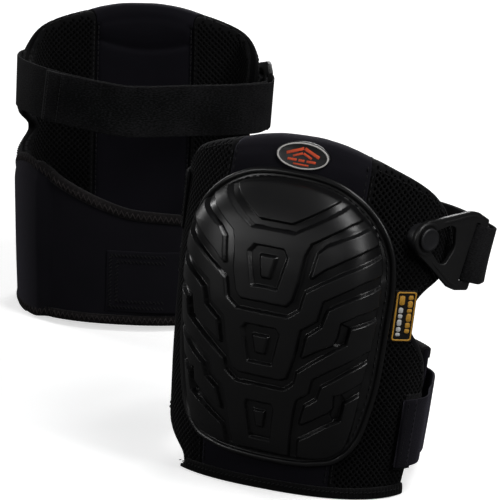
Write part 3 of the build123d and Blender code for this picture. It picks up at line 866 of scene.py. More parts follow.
def cap_mesh():
    """Vertices, faces, UVs, top mark and normals of the cap, shared by both pads.

    Zero normals leave the shading to the mesh.
    """
    count = 880
    dense = resample(mirror_loop(CAP_OUTLINE), 540.0 / 4000, True)
    loop = np.concatenate([dense, dense[:1]])
    run = arc_length(loop)
    rim = interp_rows(np.arange(count) * run[-1] / count, run, loop)
    inward = inward_normals(rim)

    rings, offs = [], []
    for inset, off in SKIRT:
        rings.append(rim + inward * inset)
        offs.append(np.full(count, off))
    for inset in BEAD_INSETS:
        ring = rim + inward * inset
        bead = 1.9 * np.sqrt(np.clip(1 - ((inset - 1.75) / 1.95) ** 2, 0, 1))
        off = np.full(count, FLANGE) + bead
        for arc, z in NOTCHES:
            gap = np.hypot(ring[:, 0] - arc, ring[:, 1] - z)
            off -= 0.9 * np.exp(-(gap / 0.9) ** 2) * (bead > 0.2)
        rings.append(ring)
        offs.append(off)
    inner = rings[-1]
    points = [np.concatenate(rings)]
    rim_count = len(points[0])
    quads, tris = [grid_faces(len(rings), count)], []

    # rings shrink to the centre; each level has half the points of the one outside it
    steps = ((64, 28, 26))
    levels = [(count, np.linspace(1, 0.5, steps[0] + 1)[1:]),
              (count // 2, np.linspace(0.5, 0.26, steps[1] + 1)[1:]),
              (count // 4, np.linspace(0.26, 0.0, steps[2] + 1)[1:-1])]
    total, last = rim_count, rim_count - count     # last: start of the innermost ring
    for n, shares in levels:
        source = inner[::count // n]
        if n == count:
            quads.append(grid_faces(len(shares) + 1, n, base=last))
        else:
            coarse = total + np.arange(n)
            ahead = np.roll(coarse, -1)
            fine = last + 2 * np.arange(n)
            fine_end = last + (2 * np.arange(n) + 2) % (2 * n)
            tris += [np.stack([fine, fine + 1, coarse], 1),
                     np.stack([fine + 1, ahead, coarse], 1),
                     np.stack([fine + 1, fine_end, ahead], 1)]
            quads.append(grid_faces(len(shares), n, base=total))
        points += [CAP_CENTRE + share * (source - CAP_CENTRE) for share in shares]
        total += n * len(shares)
        last = total - n
    quarter = count // 4
    points.append(CAP_CENTRE[None])
    tris.append(fan(last + np.arange(quarter), total))
    total += 1

    points = np.concatenate(points)
    face = snap(points[rim_count:], face_depth, (0.0, LIP_WIDTH), 0.3)
    face = snap(face, recess_depth, (0.0, RECESS_WALL), 0.34)
    face = snap(face, boss_depth, (0.0, -BOSS_WALL), 0.3)
    face = snap(face, block_depth, (0.0, -BLOCK_WALL), 0.36)
    height, flat = cap_height(face[:, 0], face[:, 1])

    # back of the shell: a quarter of the points, domed less than the face
    back = [(rim + inward * 4.0)[::4]]
    back_off = [np.full(quarter, 0.35)]
    for share in (0.72, 0.42, 0.15):
        ring = CAP_CENTRE + share * (back[0] - CAP_CENTRE)
        back.append(ring)
        back_off.append(1.2 + 0.70 * cap_height(ring[:, 0], ring[:, 1])[0])
    back.append(CAP_CENTRE[None])
    back_off.append(np.array([1.2 + 0.70 * 23]))
    ring = total + np.arange(quarter)
    ahead = np.roll(ring, -1)
    for k in range(4):
        outer = 4 * np.arange(quarter) + k
        tris.append(np.stack([(outer + 1) % count, outer, ring if k < 2 else ahead], 1))
    tris.append(np.stack([ahead, ring, 4 * np.arange(quarter) + 2], 1))
    quads.append(grid_faces(4, quarter, base=total))
    tris.append(fan(ring + 3 * quarter, total + 4 * quarter))

    back, back_off = np.concatenate(back), np.concatenate(back_off)
    uvs = np.concatenate([points[:rim_count], face, back])
    off = np.concatenate(offs + [FLANGE + height, back_off])
    top = np.concatenate([np.zeros(rim_count), flat, np.zeros(len(back))])
    normals = np.zeros((len(uvs), 3))
    normals[rim_count:total] = face_normals(face)
    faces = [np.concatenate(quads), np.concatenate(tris)]
    return surf(uvs[:, 0], uvs[:, 1], off), faces, uvs, top, normals


def build_caps():
    verts, faces, uvs, top, normals = cap_mesh()
    ring = resample(mirror_loop(CAP_OUTLINE), 3.0, True)
    channel = ring + inward_normals(ring) * 5.4
    for pad in PADS:
        obj = add_part(pad, "cap_shell", "shell", verts, faces, uvs,
                       replaces=("cap", "foam_core"), slot="hard_shell", top=top)
        obj.data.normals_split_custom_set_from_vertices(pad.turn(normals).tolist())
        # running stitch that holds the flange, in the channel beside the bead
        bag = Bag()
        surf_stitches(bag, channel, FLANGE, 5.2, 3.7, 0.42, closed=True, lift=0.2)
        add_part(pad, "cap_stitch", "thread", *bag.get())


# =============================================================================
# padded centre
# =============================================================================
def panel_top(arc):
    return 225.5 - 6.5 * (np.abs(arc) / FRONT_HALF) ** 2.2


def panel_fullness(arc, z):
    """Offset of the padded bulge over the cap."""
    return 0.15 + 1.6 * np.exp(-((z - 207) / 9.0) ** 2) * (1 - (arc / 52) ** 4)


def build_centre(pad):
    """Closed cushion of the centre: smooth front, rolled top, soft inner face."""
    steps = 96
    arc = np.linspace(-FRONT_HALF - 0.4, FRONT_HALF + 0.4, 61)
    roll_base = panel_top(arc) - ROLL_H
    rows, uvs = [], []

    def add_row(z, off, uv_shift=0):
        rows.append(surf(arc, z, off))
        uvs.append(np.stack([arc, z + uv_shift], -1))
    floor = pad.floor_z(arc, 0.0, 2.2)
    for t in np.linspace(0, 1, steps)[:-1]:
        z = floor + (roll_base - floor) * t
        off = panel_fullness(arc, z) + 0.35 * wobble(arc, z, 0.09, 11)
        add_row(z, off - 0.7 * np.exp(-((np.abs(arc) - FRONT_HALF) / 1.4) ** 2))
    for a in np.linspace(0, math.pi, 15):
        z = roll_base + ROLL_H * math.sin(a) + 0.25 * wobble(arc * 1.6, 3 * a, 0.2, 5)
        add_row(z, -10.0 + 10.4 * math.cos(a) + 0.25 * wobble(arc, 40 * a, 0.12, 6))
    floor = pad.floor_z(arc, -PAD_T, 2.2)
    crease = 190.0 + 7.0 * (arc / FRONT_HALF) ** 2
    for t in np.linspace(1, 0, steps)[1:]:
        z = floor + (roll_base - floor) * t
        off = -PAD_T + 0.4 - 0.7 * wobble(arc, z, 0.05, 23)
        off = off + 2.2 * np.exp(-((np.abs(arc) - FRONT_HALF) / 3.2) ** 2)
        off = off + 2.0 * np.exp(-((z - crease) / 2.2) ** 2)
        off = off - 2.2 * smooth((z - crease) / 14.0) * (1 - smooth((z - roll_base + 6) / 8.0))
        add_row(z, off, uv_shift=400)

    n, m = len(rows), len(arc)
    faces = [grid_faces(n, m, wrap_rows=True, wrap_cols=False)]
    for j in (0, m - 1):     # side walls
        ring = np.arange(n) * m + j
        half = n // 2
        a, b = ring[:half], ring[::-1][:half]
        faces.append(np.stack([a[:-1], a[1:], b[1:], b[:-1]], 1))
        faces.append(np.array([[a[-1], ring[half], b[-1]]]))
    add_part(pad, "centre_cushion", "fabric", np.concatenate(rows), faces, np.concatenate(uvs),
             replaces=("front_panel", "liner_panel", "comfort_foam", "gel_insert", "top_roll"),
             slot="pad_fabric")


def build_seams(pad):
    """Double seams down both sides of the centre, outside and inside."""
    def seam(arc, off, top):
        low = pad.floor_z(np.array([arc]), off, 9)[0]
        return np.stack([np.full(30, arc), np.linspace(low, top, 30)], 1)
    outer, inner = Bag(), Bag()
    for side in (-1, 1):
        for shift, top in ((-1.9, 215.0), (2.0, 210.0)):
            line = seam(side * (FRONT_HALF + shift), 0, top)
            surf_stitches(outer, line, 0.25, 4.6, 3.2, 0.38)
        for shift, rise in ((-2.4, 2.2), (2.4, 1.6)):
            mid = side * (FRONT_HALF + shift)
            arc, z = stations_along(seam(mid, -PAD_T, 212.0), 4.0)[0].T
            stitches(inner, surf(arc, z, rise - thickness(mid)), UP, -normal(arc, z),
                     3.0, 0.45, 1.9)
    add_part(pad, "panel_stitch", "thread", *outer.get())
    add_part(pad, "liner_stitch", "thread", *inner.get())


# =============================================================================
# wings
# =============================================================================
def wing_outline(pad, side, seam_gap, edge_gap, off, level):
    """Outline of a wing as (arc, z), arc taken positive."""
    corner_z = 0.0
    for _ in range(3):
        corner = side * (float(edge_arc(pad, side, corner_z)) - edge_gap)
        corner_z = pad.floor_z(np.array([corner]), off, level)[0]
    z = np.linspace(corner_z, 219.2, 200)
    edge = edge_arc(pad, side, z) - edge_gap
    keep = edge > FRONT_HALF + seam_gap + 0.5
    z, edge = z[keep], edge[keep]
    foot = np.linspace(FRONT_HALF + seam_gap, edge[0], 50)
    foot_z = pad.floor_z(side * foot, off, level)
    return np.concatenate([np.stack([foot, foot_z], 1)[:-1], np.stack([edge, z], 1),
                           [(FRONT_HALF + seam_gap, z[-1] + 0.3)]])


def wing_faces(pad, side, arc, z):
    """Offsets of the wing's outer and inner faces, drawn together at its free edge."""
    outer = (-1.35 + 0.30 * wobble(arc, z, 0.08, 31 + side)
             + 0.5 * wobble(arc, z, 0.03, 35 + side)
             - 1.0 * np.exp(-((arc - FRONT_HALF) / 1.8) ** 2))
    inner = 0.2 - thickness(arc) + 0.5 * wobble(arc, z, 0.07, 41 + side)
    slope = (edge_arc(pad, side, z + 1.0) - edge_arc(pad, side, z - 1.0)) / 2
    inset = (edge_arc(pad, side, z) - arc) / np.sqrt(1 + np.clip(slope, -6, 6) ** 2)
    radius = 4.0 + 5.2 * smooth((z - 186) / 18.0)
    full = np.sqrt(np.clip(1 - (1 - clamp(inset / radius)) ** 2, 0, 1))
    mid = (outer + inner) / 2
    return mid + (outer - mid) * full, mid + (inner - mid) * full


def lattice(side, outline, height, depth, cell, hole, outward):
    """Knit sheet of diamond cells with staggered oval holes, rolled over at its border.

    height(arc, z) is the sheet's offset, depth that of the holes.
    """
    hem = 2.6
    scale = 1.0
    cell, hole = np.array(cell) * scale, np.array(hole) * scale
    low, high = outline.min(0), outline.max(0)
    nx, nz = ((high - low) / cell).astype(int) + 3
    origin = low - cell * 0.5
    index = []
    for parity in (0, 1):
        i, j = np.meshgrid(np.arange(nx), np.arange(nz), indexing="ij")
        index.append(np.stack([2 * i + parity, 2 * j + parity], -1).reshape(-1, 2))
    index = np.concatenate(index)
    centres = origin + index * (cell / 2)
    inset = depth_in(outline, centres)
    keep = inset > -0.9
    index, centres, inset = index[keep], centres[keep], inset[keep]

    # eight border points of each diamond cell, shared through a doubled index grid
    corners = np.array([(2, 0), (1, 1), (0, 2), (-1, 1), (-2, 0), (-1, -1), (0, -2), (1, -1)])
    keys = (index[:, None, :] * 2 + corners[None]).reshape(-1, 2)
    code = (keys[:, 0] + 10) * 100000 + (keys[:, 1] + 10)
    _, first, inverse = np.unique(code, return_index=True, return_inverse=True)
    border = origin + keys[first] * (cell / 4)
    gap, near = nearest_on(outline, border)
    border = np.where((gap < 0.35)[:, None], near, border)
    cells = inverse.reshape(len(centres), 8)
    nb = len(border)

    angle = np.arange(8) * math.pi / 4
    oval = np.stack([np.cos(angle), np.sin(angle)], 1) * hole / 2
    holed = inset > hem
    count = int(holed.sum()) * 8
    rim = (centres[holed][:, None] + oval[None]).reshape(-1, 2)
    floor = (centres[holed][:, None] + (oval * [0.88, 0.9])[None]).reshape(-1, 2)
    rim_ids = nb + np.arange(count).reshape(-1, 8)
    faces = []
    for a, b in ((cells[holed], rim_ids), (rim_ids, rim_ids + count)):
        quads = np.stack([a, np.roll(a, -1, 1), np.roll(b, -1, 1), b], -1)
        faces.append(quads.reshape(-1, 4))
    solid, middles = cells[~holed], centres[~holed]
    gap, near = nearest_on(outline, middles)
    middles = np.where((gap < 0.1)[:, None], near, middles)
    middle_ids = nb + 2 * count + np.arange(len(middles))
    tris = np.stack([solid, np.roll(solid, -1, 1), np.repeat(middle_ids[:, None], 8, 1)], -1)
    points = np.concatenate([border, rim, floor, middles])
    drop = np.concatenate([np.zeros(nb), np.full(count, 0.22), np.full(count, depth),
                           np.zeros(len(middles))])

    # open border edges, rolled down over the edge
    edges = np.stack([cells, np.roll(cells, -1, 1)], -1).reshape(-1, 2)
    ordered = np.sort(edges, 1)
    code = ordered[:, 0] * (nb + 1) + ordered[:, 1]
    _, first, uses = np.unique(code, return_index=True, return_counts=True)
    edges = edges[first[uses == 1]]
    open_ids = np.unique(edges)
    line = border[open_ids]
    away = -np.stack([depth_in(outline, line + d) - depth_in(outline, line - d)
                      for d in (np.array([0.5, 0]), np.array([0, 0.5]))], 1)
    away /= np.maximum(np.linalg.norm(away, axis=1, keepdims=True), 1e-6)
    before = np.arange(nb)
    for push, down in ((0.25, 0.8), (0.1, 1.6), (-1.0, 2.4)):
        after = np.full(nb, -1)
        after[open_ids] = len(points) + np.arange(len(open_ids))
        a, b = edges[:, 0], edges[:, 1]
        faces.append(np.stack([before[b], before[a], after[a], after[b]], 1))
        points = np.concatenate([points, line + away * push])
        drop = np.concatenate([drop, np.full(len(line), down)])
        before = after
    arc, z = side * points[:, 0], points[:, 1]
    off = height(arc, z) - (1.0 if outward else -1.0) * drop
    return surf(arc, z, off), [np.concatenate(faces), tris.reshape(-1, 3)], points


def build_wing_core(pad, side, wing):
    """Padded body of the wing with a rounded free edge."""
    n = 44
    share = 1 - (1 - np.linspace(0, 1, n)) ** 2
    heights = np.concatenate([np.linspace(-9, 20, 20)[:-1], np.linspace(20, 190, 110)[:-1],
                              np.linspace(190, 219.0, 30)])
    start = FRONT_HALF + 0.3
    verts, uvs = [], []
    for z in heights:
        end = max(float(edge_arc(pad, side, z)) - 0.6, FRONT_HALF + 0.8)
        arc = start + (end - start) * share
        outer, inner = wing_faces(pad, side, arc, np.full(n, z))
        around = side * np.concatenate([arc, arc[::-1]])
        off = np.concatenate([outer, inner[::-1]])
        ring_z = np.maximum(z, pad.floor_z(around, off, 2.0))
        verts.append(surf(around, ring_z, off))
        uvs.append(np.stack([np.concatenate([arc, 2 * end - arc[::-1]]), ring_z], -1))
    faces = [grid_faces(len(heights), 2 * n)]
    for base in (0, (len(heights) - 1) * 2 * n):
        a, b = base + np.arange(n), base + (2 * n - 1) - np.arange(n)
        faces.append(np.stack([a[:-1], a[1:], b[1:], b[:-1]], 1))
    # the core's material is coloured near black as painted shade seen through the mesh holes
    add_part(pad, wing + "_wing_core", "core", np.concatenate(verts), faces,
             np.concatenate(uvs), replaces=(wing + "_wing_lining",), slot="lining")


def build_wing(pad, side):
    wing = "lateral" if side > 0 else "medial"
    build_wing_core(pad, side, wing)

    def over(arc, z):
        return wing_faces(pad, side, np.abs(arc), z)[0] + 1.4

    def under(arc, z):
        arc = np.abs(arc)
        seam = 1.1 * np.exp(-((arc - FRONT_HALF) / 2.5) ** 2)
        return wing_faces(pad, side, arc, z)[1] - 1.1 + seam
    flip = (side < 0) != (pad.mirror < 0)
    outline = wing_outline(pad, side, seam_gap=0.7, edge_gap=1.2, off=0.0, level=2.3)
    sheet = lattice(side, outline, over, depth=1.9, cell=(4.0, 4.3), hole=(1.9, 2.6),
                    outward=True)
    add_part(pad, wing + "_wing_mesh", "mesh", *sheet, replaces=(wing + "_wing_mesh",),
             slot="spacer_mesh", flip=flip, recalc=False)
    outline = wing_outline(pad, side, seam_gap=1.6, edge_gap=1.4, off=-9.0, level=2.5)
    sheet = lattice(side, outline, under, depth=1.2, cell=(4.6, 4.6), hole=(2.5, 2.9),
                    outward=False)
    add_part(pad, wing + "_wing_liner", "mesh", *sheet, flip=not flip, recalc=False)
    # stitched hem near the free edge
    z = np.linspace(26.0, 214.0, 160)
    edge = edge_arc(pad, side, z)
    edge = edge - 5.5 * np.sqrt(1 + np.clip(np.gradient(edge, z), -3, 3) ** 2)
    bag = Bag()
    surf_stitches(bag, np.stack([side * edge, z], 1)[::2], over, 4.4, 3.0, 0.36)
    add_part(pad, wing + "_hem_stitch", "thread", *bag.get())


# =============================================================================
# bottom binding
# =============================================================================
# Rolled outer lip: (off, height over the floor, share of the ribbing).
LIP = [(1.65, 0.9, 1), (1.75, 2.4, 1), (1.8, 4.2, 1), (1.7, 6.0, 1), (1.35, 7.3, 1),
       (0.85, 7.7, 0.4), (0.45, 7.2, 0), (0.4, 5.0, 0), (0.4, 2.4, 0)]
# Sole under the pad: (share of the pad's thickness inwards, height over the floor).
SOLE = [(0.1, 1.7), (0.5, 1.7), (0.9, 1.7), (1.0, 1.7), (1.02, 0.6), (0.98, 0.05), (0.6, 0.0),
        (0.2, 0.0)]


def build_binding(pad):
    """Ribbed tape round the bottom edge: sole with a rolled outer lip, flat on the floor."""
    start, end = (-69.0 if pad.mirror > 0 else -170.0), 104.5
    arc = np.linspace(start, end, 520)

    def at_level(arc, off, level):
        q = pad.world(surf(arc, 0.0, off))
        q[:, 2] = level * 0.001
        return q
    rib = 0.28 * np.abs(np.sin(arc * math.pi / 2.4)) ** 0.6
    rise = 1.0 - 0.75 * smooth((start + 9.0 - arc) / 9.0)
    rows = []
    for off, z, ribbing in LIP:
        level = z * rise + (0.35 * wobble(arc, z, 0.1, 8) if z > 5 else 0)
        rows.append(at_level(arc, off + rib * ribbing - 1.6 * (1 - rise), level))
    rows += [at_level(arc, -thickness(arc) * share, z) for share, z in SOLE]
    rows.append(at_level(arc, 1.2, 0.0))
    uvs = [uv_row(arc, j * 2.0) for j in range(len(rows))]
    add_part(pad, "bottom_binding_tape", "bind", *closed_strip(rows, uvs),
             replaces=("bottom_binding",), slot="binding_tape", metres=True)
    # slanted stitches over the lip
    arc = np.arange(start + 2, end - 2, 3.2)
    runs = unit(pad.turn(surf(arc + 1, 0.0, 1.9) - surf(arc - 1, 0.0, 1.9)))
    bag = Bag()
    stitches(bag, at_level(arc, 2.15, 4.9) * 1000, runs + np.array([0, 0, 0.5]),
             pad.turn(normal(arc, 0.0 * arc)), 2.6, 0.35, 0.0)
    verts, faces, uvs = bag.get()
    add_part(pad, "binding_stitch", "thread", verts * 0.001, faces, uvs, metres=True)


# =============================================================================
# badge and side label (abstract marks only)
# =============================================================================
BADGE_ARC, BADGE_Z = 2.0, 214.5
BADGE_SIZE = np.array([18.25, 8.75])     # half axes
# Ground: (share of the half axes, height).
BADGE_RINGS = [(1.0, -1.6), (1.005, 0.2), (0.985, 0.7), (0.95, 0.85), (0.8, 0.75), (0.5, 0.8),
               (0.2, 0.85)]
# Bars of the mark: (x0, y0, x1, y1, width), a roof of two ridges over four level bars.
BADGE_BARS = [(0.4, 4.7, 11.2, 0.5, 1.9), (0.3, 1.7, 6.4, -0.8, 1.4)]
BADGE_BARS = [(side * x0, y0, side * x1, y1, width) for side in (-1, 1)
              for x0, y0, x1, y1, width in BADGE_BARS]
BADGE_BARS += [(-9.6, -2.9, -3.4, -2.9, 1.5), (-2.0, -2.9, 2.0, -2.9, 1.5),
               (3.4, -2.9, 9.6, -2.9, 1.5), (-5.2, -5.4, 5.2, -5.4, 1.0)]
LABEL_BOX = (75.6, 105.0, 91.0, 139.0)     # arc, z of two corners


def raised(bag, place, outline, low, high, inset):
    """Adds a low raised shape with a chamfered top; place(x, y, height) sets its points."""
    centre, n = outline.mean(0), len(outline)
    run = np.roll(outline, -1, 0) - np.roll(outline, 1, 0)
    away = np.stack([run[:, 1], -run[:, 0]], 1)
    away /= np.maximum(np.linalg.norm(away, axis=1, keepdims=True), 1e-9)
    if ((outline - centre) * away).sum() < 0:
        away = -away
    rows = [(outline, low), (outline, high - inset * 0.6), (outline - away * inset, high),
            (centre[None], high), (centre[None], low)]
    verts = np.concatenate([place(q[:, 0], q[:, 1], height) for q, height in rows])
    faces = [grid_faces(3, n), fan(2 * n + np.arange(n), 3 * n),
             fan(np.arange(n), 3 * n + 1)[:, [1, 0, 2]]]
    bag.add(verts, faces, np.concatenate([q for q, _ in rows]))


def ring_band(place, outer, inner, low, high):
    """Closed raised band between two outlines with equal point counts."""
    rows = [(outer, low), (outer, high - 0.12), (outer * 0.93 + inner * 0.07, high),
            (outer * 0.07 + inner * 0.93, high), (inner, high - 0.12), (inner, low)]
    verts = np.concatenate([place(q[:, 0], q[:, 1], height) for q, height in rows])
    uvs = np.concatenate([q for q, _ in rows])
    return verts, [grid_faces(6, len(outer), wrap_rows=True)], uvs


def badge_place(x, y, height):
    """Follows the panel, and leans back over the roll."""
    arc, z = BADGE_ARC + x, BADGE_Z + y * 0.985
    roll_base = panel_top(arc) - ROLL_H
    climb = np.clip((z - roll_base) / ROLL_H, 0, 0.96)
    over_roll = -10.0 + 10.4 * np.sqrt(1 - climb ** 2)
    base = np.where(z > roll_base, over_roll, panel_fullness(arc, z))
    return surf(arc, z, base * 0.6 + 0.9 + height)


def build_badge(pad):
    n = 96
    angle = np.linspace(0, 2 * math.pi, n, endpoint=False)
    ellipse = np.stack([np.cos(angle), np.sin(angle)], 1)
    rings = [(ellipse * (BADGE_SIZE * share), height) for share, height in BADGE_RINGS]
    rings += [(np.zeros((1, 2)), 0.85), (np.zeros((1, 2)), -1.6)]
    verts = np.concatenate([badge_place(q[:, 0], q[:, 1], height) for q, height in rings])
    k = len(BADGE_RINGS)
    faces = [grid_faces(k, n), fan((k - 1) * n + np.arange(n), k * n),
             fan(np.arange(n), k * n + 1)[:, [1, 0, 2]]]
    add_part(pad, "badge_ground", "badge", verts, faces, np.concatenate([q for q, _ in rings]),
             replaces=("badge",), slot="badge_face")
    outer, inner = (ellipse * (BADGE_SIZE * share) for share in ((0.965, 0.94), (0.905, 0.84)))
    add_part(pad, "badge_ring", "ring", *ring_band(badge_place, outer, inner, 0.5, 1.15))
    bag = Bag()
    share = np.arange(5)[:, None] / 4
    for x0, y0, x1, y1, width in BADGE_BARS:
        start, end = np.array([x0, y0]), np.array([x1, y1])
        run = (end - start) / np.linalg.norm(end - start)
        half = np.array([-run[1], run[0]]) * width / 2
        outline = np.concatenate([start + half + (end - start) * share,
                                  end - half + (start - end) * share])
        raised(bag, badge_place, outline, 0.5, 1.15, inset=0.18)
    add_part(pad, "badge_mark", "mark", *bag.get())


def label_place(x, y, height):
    return surf(x, y, 0.5 + height)


def build_label(pad):
    arc0, z0, arc1, z1 = LABEL_BOX
    arc, z = np.meshgrid(np.linspace(arc0, arc1, 20), np.linspace(z0, z1, 44), indexing="ij")
    rim = np.minimum(np.minimum(arc - arc0, arc1 - arc), np.minimum(z - z0, z1 - z))
    off = 0.85 - 0.5 * np.exp(-rim / 0.5) + 0.12 * wobble(arc, z, 0.25, 3)
    add_part(pad, "label_ground", "label", *thin_sheet(arc, z, off), replaces=("side_label",),
             slot="woven_label")

    def column(x0, x1, top, lengths, gap):
        blocks = []
        for length in lengths:
            blocks.append((x0, top - length + gap, x1, top))
            top -= length
        return blocks

    def add_blocks(bag, blocks):
        for x0, y0, x1, y1 in blocks:
            outline = rounded_box(x0, y0, x1, y1, min(x1 - x0, y1 - y0) * 0.35, 4)
            raised(bag, label_place, outline, 0.1, 0.72, inset=0.12)
    # frame and plain blocks of uneven length: no lettering
    outer, inner = (rounded_box(arc0 + gap, z0 + gap, arc1 - gap, z1 - gap, radius, 7)
                    for gap, radius in ((0.9, 1.8), (1.9, 1.1)))
    gold, white = Bag(), Bag()
    gold.add(*ring_band(label_place, outer, inner, 0.1, 0.75))
    blocks = column(arc1 - 6.4, arc1 - 3.0, z1 - 3.2, (3.6, 5.2, 3.0, 6.0, 4.2, 3.4), 0.7)
    blocks.append((arc0 + 3.0, z1 - 9.6, arc0 + 6.6, z1 - 3.4))
    add_blocks(gold, blocks)
    add_part(pad, "label_gold", "gold", *gold.get())
    add_blocks(white, column(arc0 + 3.2, arc0 + 6.2, z1 - 11.2, (4.4, 3.4, 5.0, 3.8, 2.9), 0.8))
    add_part(pad, "label_white", "white", *white.get())


# =============================================================================
# upper strap
# =============================================================================
# Angles of the stations on the body, from the medial wing round the back (degrees).
STRAP_ANGLES = [-64, -71, -78, -85, -92, -99, -106, -114, -122, -131, -140, -150, -160, -170,
                -180, -190, -199]
# Station numbers: where the free tail ends, where band meets lead, where the tail settles.
TAIL_END, LEAD_START, TAIL_SETTLED = 10, 16, 20
# The strap's loop round the bar: (distance from the stud, height out of the plate).
BAR_LOOP = np.array([
    (BAR_FAR + 3.0, -1.1), (BAR_FAR - 0.5, -1.15), (BAR_MID, -1.05), (BAR_NEAR + 0.2, -1.0),
    (BAR_NEAR - 0.9, -0.1), (BAR_NEAR - 1.2, 1.5), (BAR_NEAR - 0.9, 3.1), (BAR_NEAR + 0.2, 4.0),
    (BAR_MID, 4.1), (BAR_FAR + 1.0, 4.0)])


def strap_height(degrees):
    if degrees >= -180:
        return 168.0 - 11.0 * max((-110.0 - degrees) / 70.0, 0.0) ** 1.5
    return 157.0 + 5.0 * ((-180.0 - degrees) / 45.0) ** 1.4


def strap_stations(pad):
    """Stations round the body, then a Hermite curve to the buckle's bar."""
    points = []
    for degrees in STRAP_ANGLES:
        z = strap_height(degrees)
        points.append(np.array([*plan(math.radians(degrees), z, 0.0), z], float))
    start, start_run = points[-1], unit(points[-1] - points[-2])
    end = pad.at_buckle(BAR_FAR + 3.0, 0, -2.5)
    pull = np.linalg.norm(end - start) * 1.15
    end_pull = pull * 0.55
    for i in range(1, 9):
        t = i / 8
        points.append((2 * t**3 - 3 * t**2 + 1) * start + (t**3 - 2 * t**2 + t) * pull * start_run
                      + (-2 * t**3 + 3 * t**2) * end - (t**3 - t**2) * end_pull * pad.along)
    return np.array(points)


def nearest_index(path, point):
    return int(np.argmin(np.linalg.norm(path - point, axis=1)))


class StrapCourse:
    """Course of the strap: its path, directions out and across, and running length."""

    def __init__(self, pad):
        stations = strap_stations(pad)
        self.path = resample(stations, 1.6)
        run = unit(np.gradient(self.path, axis=0))
        out = unit(np.stack([-run[:, 1], run[:, 0], np.zeros(len(run))], 1))
        out *= np.sign((out[:, :2] * self.path[:, :2]).sum(1))[:, None]
        across = unit(np.cross(out, run))
        across *= np.sign(across[:, 2:3])
        self.length = arc_length(self.path)
        # the end at the bar turns square to it
        turn = smooth((self.length - (self.length[-1] - 26)) / 26.0)[:, None]
        self.out = unit(out * (1 - turn) + pad.out * turn)
        self.across = unit(across * (1 - turn) + pad.across * turn)
        self.ripple = 0.18 * wobble(self.length, 0 * self.length, 0.25, 7)
        self.tail_end, self.cut, self.settled = (
            nearest_index(self.path, stations[i]) for i in (TAIL_END, LEAD_START, TAIL_SETTLED))


def build_strap_band(pad, course):
    """Part sewn on at the medial wing, and the lead that runs to the buckle."""
    profile = band_profile(STRAP_W, STRAP_T, 0.62, STRAP_GAP)
    rippled = course.path + course.out * course.ripple[:, None]
    cut = course.cut
    far, near = (sweep(rippled[q], course.out[q], course.across[q], profile)
                 for q in (slice(cut + 1), slice(cut, None)))
    add_part(pad, "upper_strap_band", "web", *far, replaces=("strap_anchor",), slot="webbing")
    verts, faces, uvs = near
    obj = add_part(pad, "upper_strap_lead", "web", verts, faces, uvs + [course.length[cut], 0],
                   body=None, replaces=("upper_strap",), slot="webbing")
    pad.body("pad")
    pad.body("buckle")
    pad.world(course.path[cut + 6])
    pad.world(course.path[-1])
    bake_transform(obj)


def build_strap_tail(pad, course):
    """Loop round the bar and free tail over the outside."""
    loop = pad.at_buckle(BAR_LOOP[:, 0], 0, BAR_LOOP[:, 1])
    # tail stations, from the bar back along the band
    ids = np.arange(len(course.path) - 1, course.tail_end - 1, -1)
    length = course.length
    settle = smooth((length[-1] - length[ids]) / (length[-1] - length[course.settled]))
    lift = STRAP_GAP + STRAP_T + 0.8 + 3.6 * (1 - settle) + 1.3 * settle + course.ripple[ids]
    tail = (course.path[ids] + course.out[ids] * lift[:, None])[4::3]
    path = np.concatenate([resample(loop, 0.7),
                           resample(np.concatenate([loop[-1:], tail]), 1.6)[1:]])
    along = unit(np.gradient(path, axis=0))
    # width direction: the bar's near the buckle, the band's further on
    across = np.array([course.across[nearest_index(course.path, p)] for p in path])
    gap = np.linalg.norm(path - pad.at_buckle(BAR_MID, 0, 1.5), axis=1)
    share = smooth((gap - 8) / 20.0)[:, None]
    across = unit(pad.across * (1 - share) + across * share)
    for _ in range(3):
        across[1:-1] = unit((across[:-2] + across[1:-1] * 2 + across[2:]) / 4)
    across = unit(across - (across * along).sum(1, keepdims=True) * along)
    out = np.cross(along, across)
    if (out[-1, :2] * path[-1, :2]).sum() < 0:
        out = -out
    run = arc_length(path)
    thick = STRAP_T * 0.94
    # folded hem at the tail's end: double thickness with a step
    hem = smooth((run - (run[-1] - 17.0)) / 1.0)
    tip = smooth((run[-1] - run) / 1.6)
    verts, faces, uvs = sweep(
        path + out * (0.55 * hem)[:, None], out, across,
        band_profile(STRAP_W - 0.5, thick, 0.6, -STRAP_T / 2),
        scale=(1 + 1.05 * hem) * (0.55 + 0.45 * tip))
    obj = add_part(pad, "strap_tail_web", "web", verts, faces, uvs + [900, 0], body=None,
                   replaces=("strap_tail", "strap_loop", "strap_hook_tab"), slot="webbing")
    pad.body("buckle")
    pad.body("strap_tail")
    pad.world(pad.at_buckle(BAR_FAR + 1.5, 0, 4.1))
    pad.world(pad.at_buckle(BAR_FAR + 16.0, 0, 4.1))
    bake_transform(obj)
    bag = Bag()
    places = np.arange(-16.5, 16.6, 3.3)[:, None]
    for back in (3.0, 15.2):
        j = int(np.argmin(np.abs(run - (run[-1] - back))))
        centres = path[j] + places * across[j] + out[j] * (0.55 + thick * 2.05 / 2)
        stitches(bag, centres, across[j], out[j], 2.5, 0.34, 0.1)
    add_part(pad, "tail_stitch", "thread", *bag.get(), body="strap_tail")


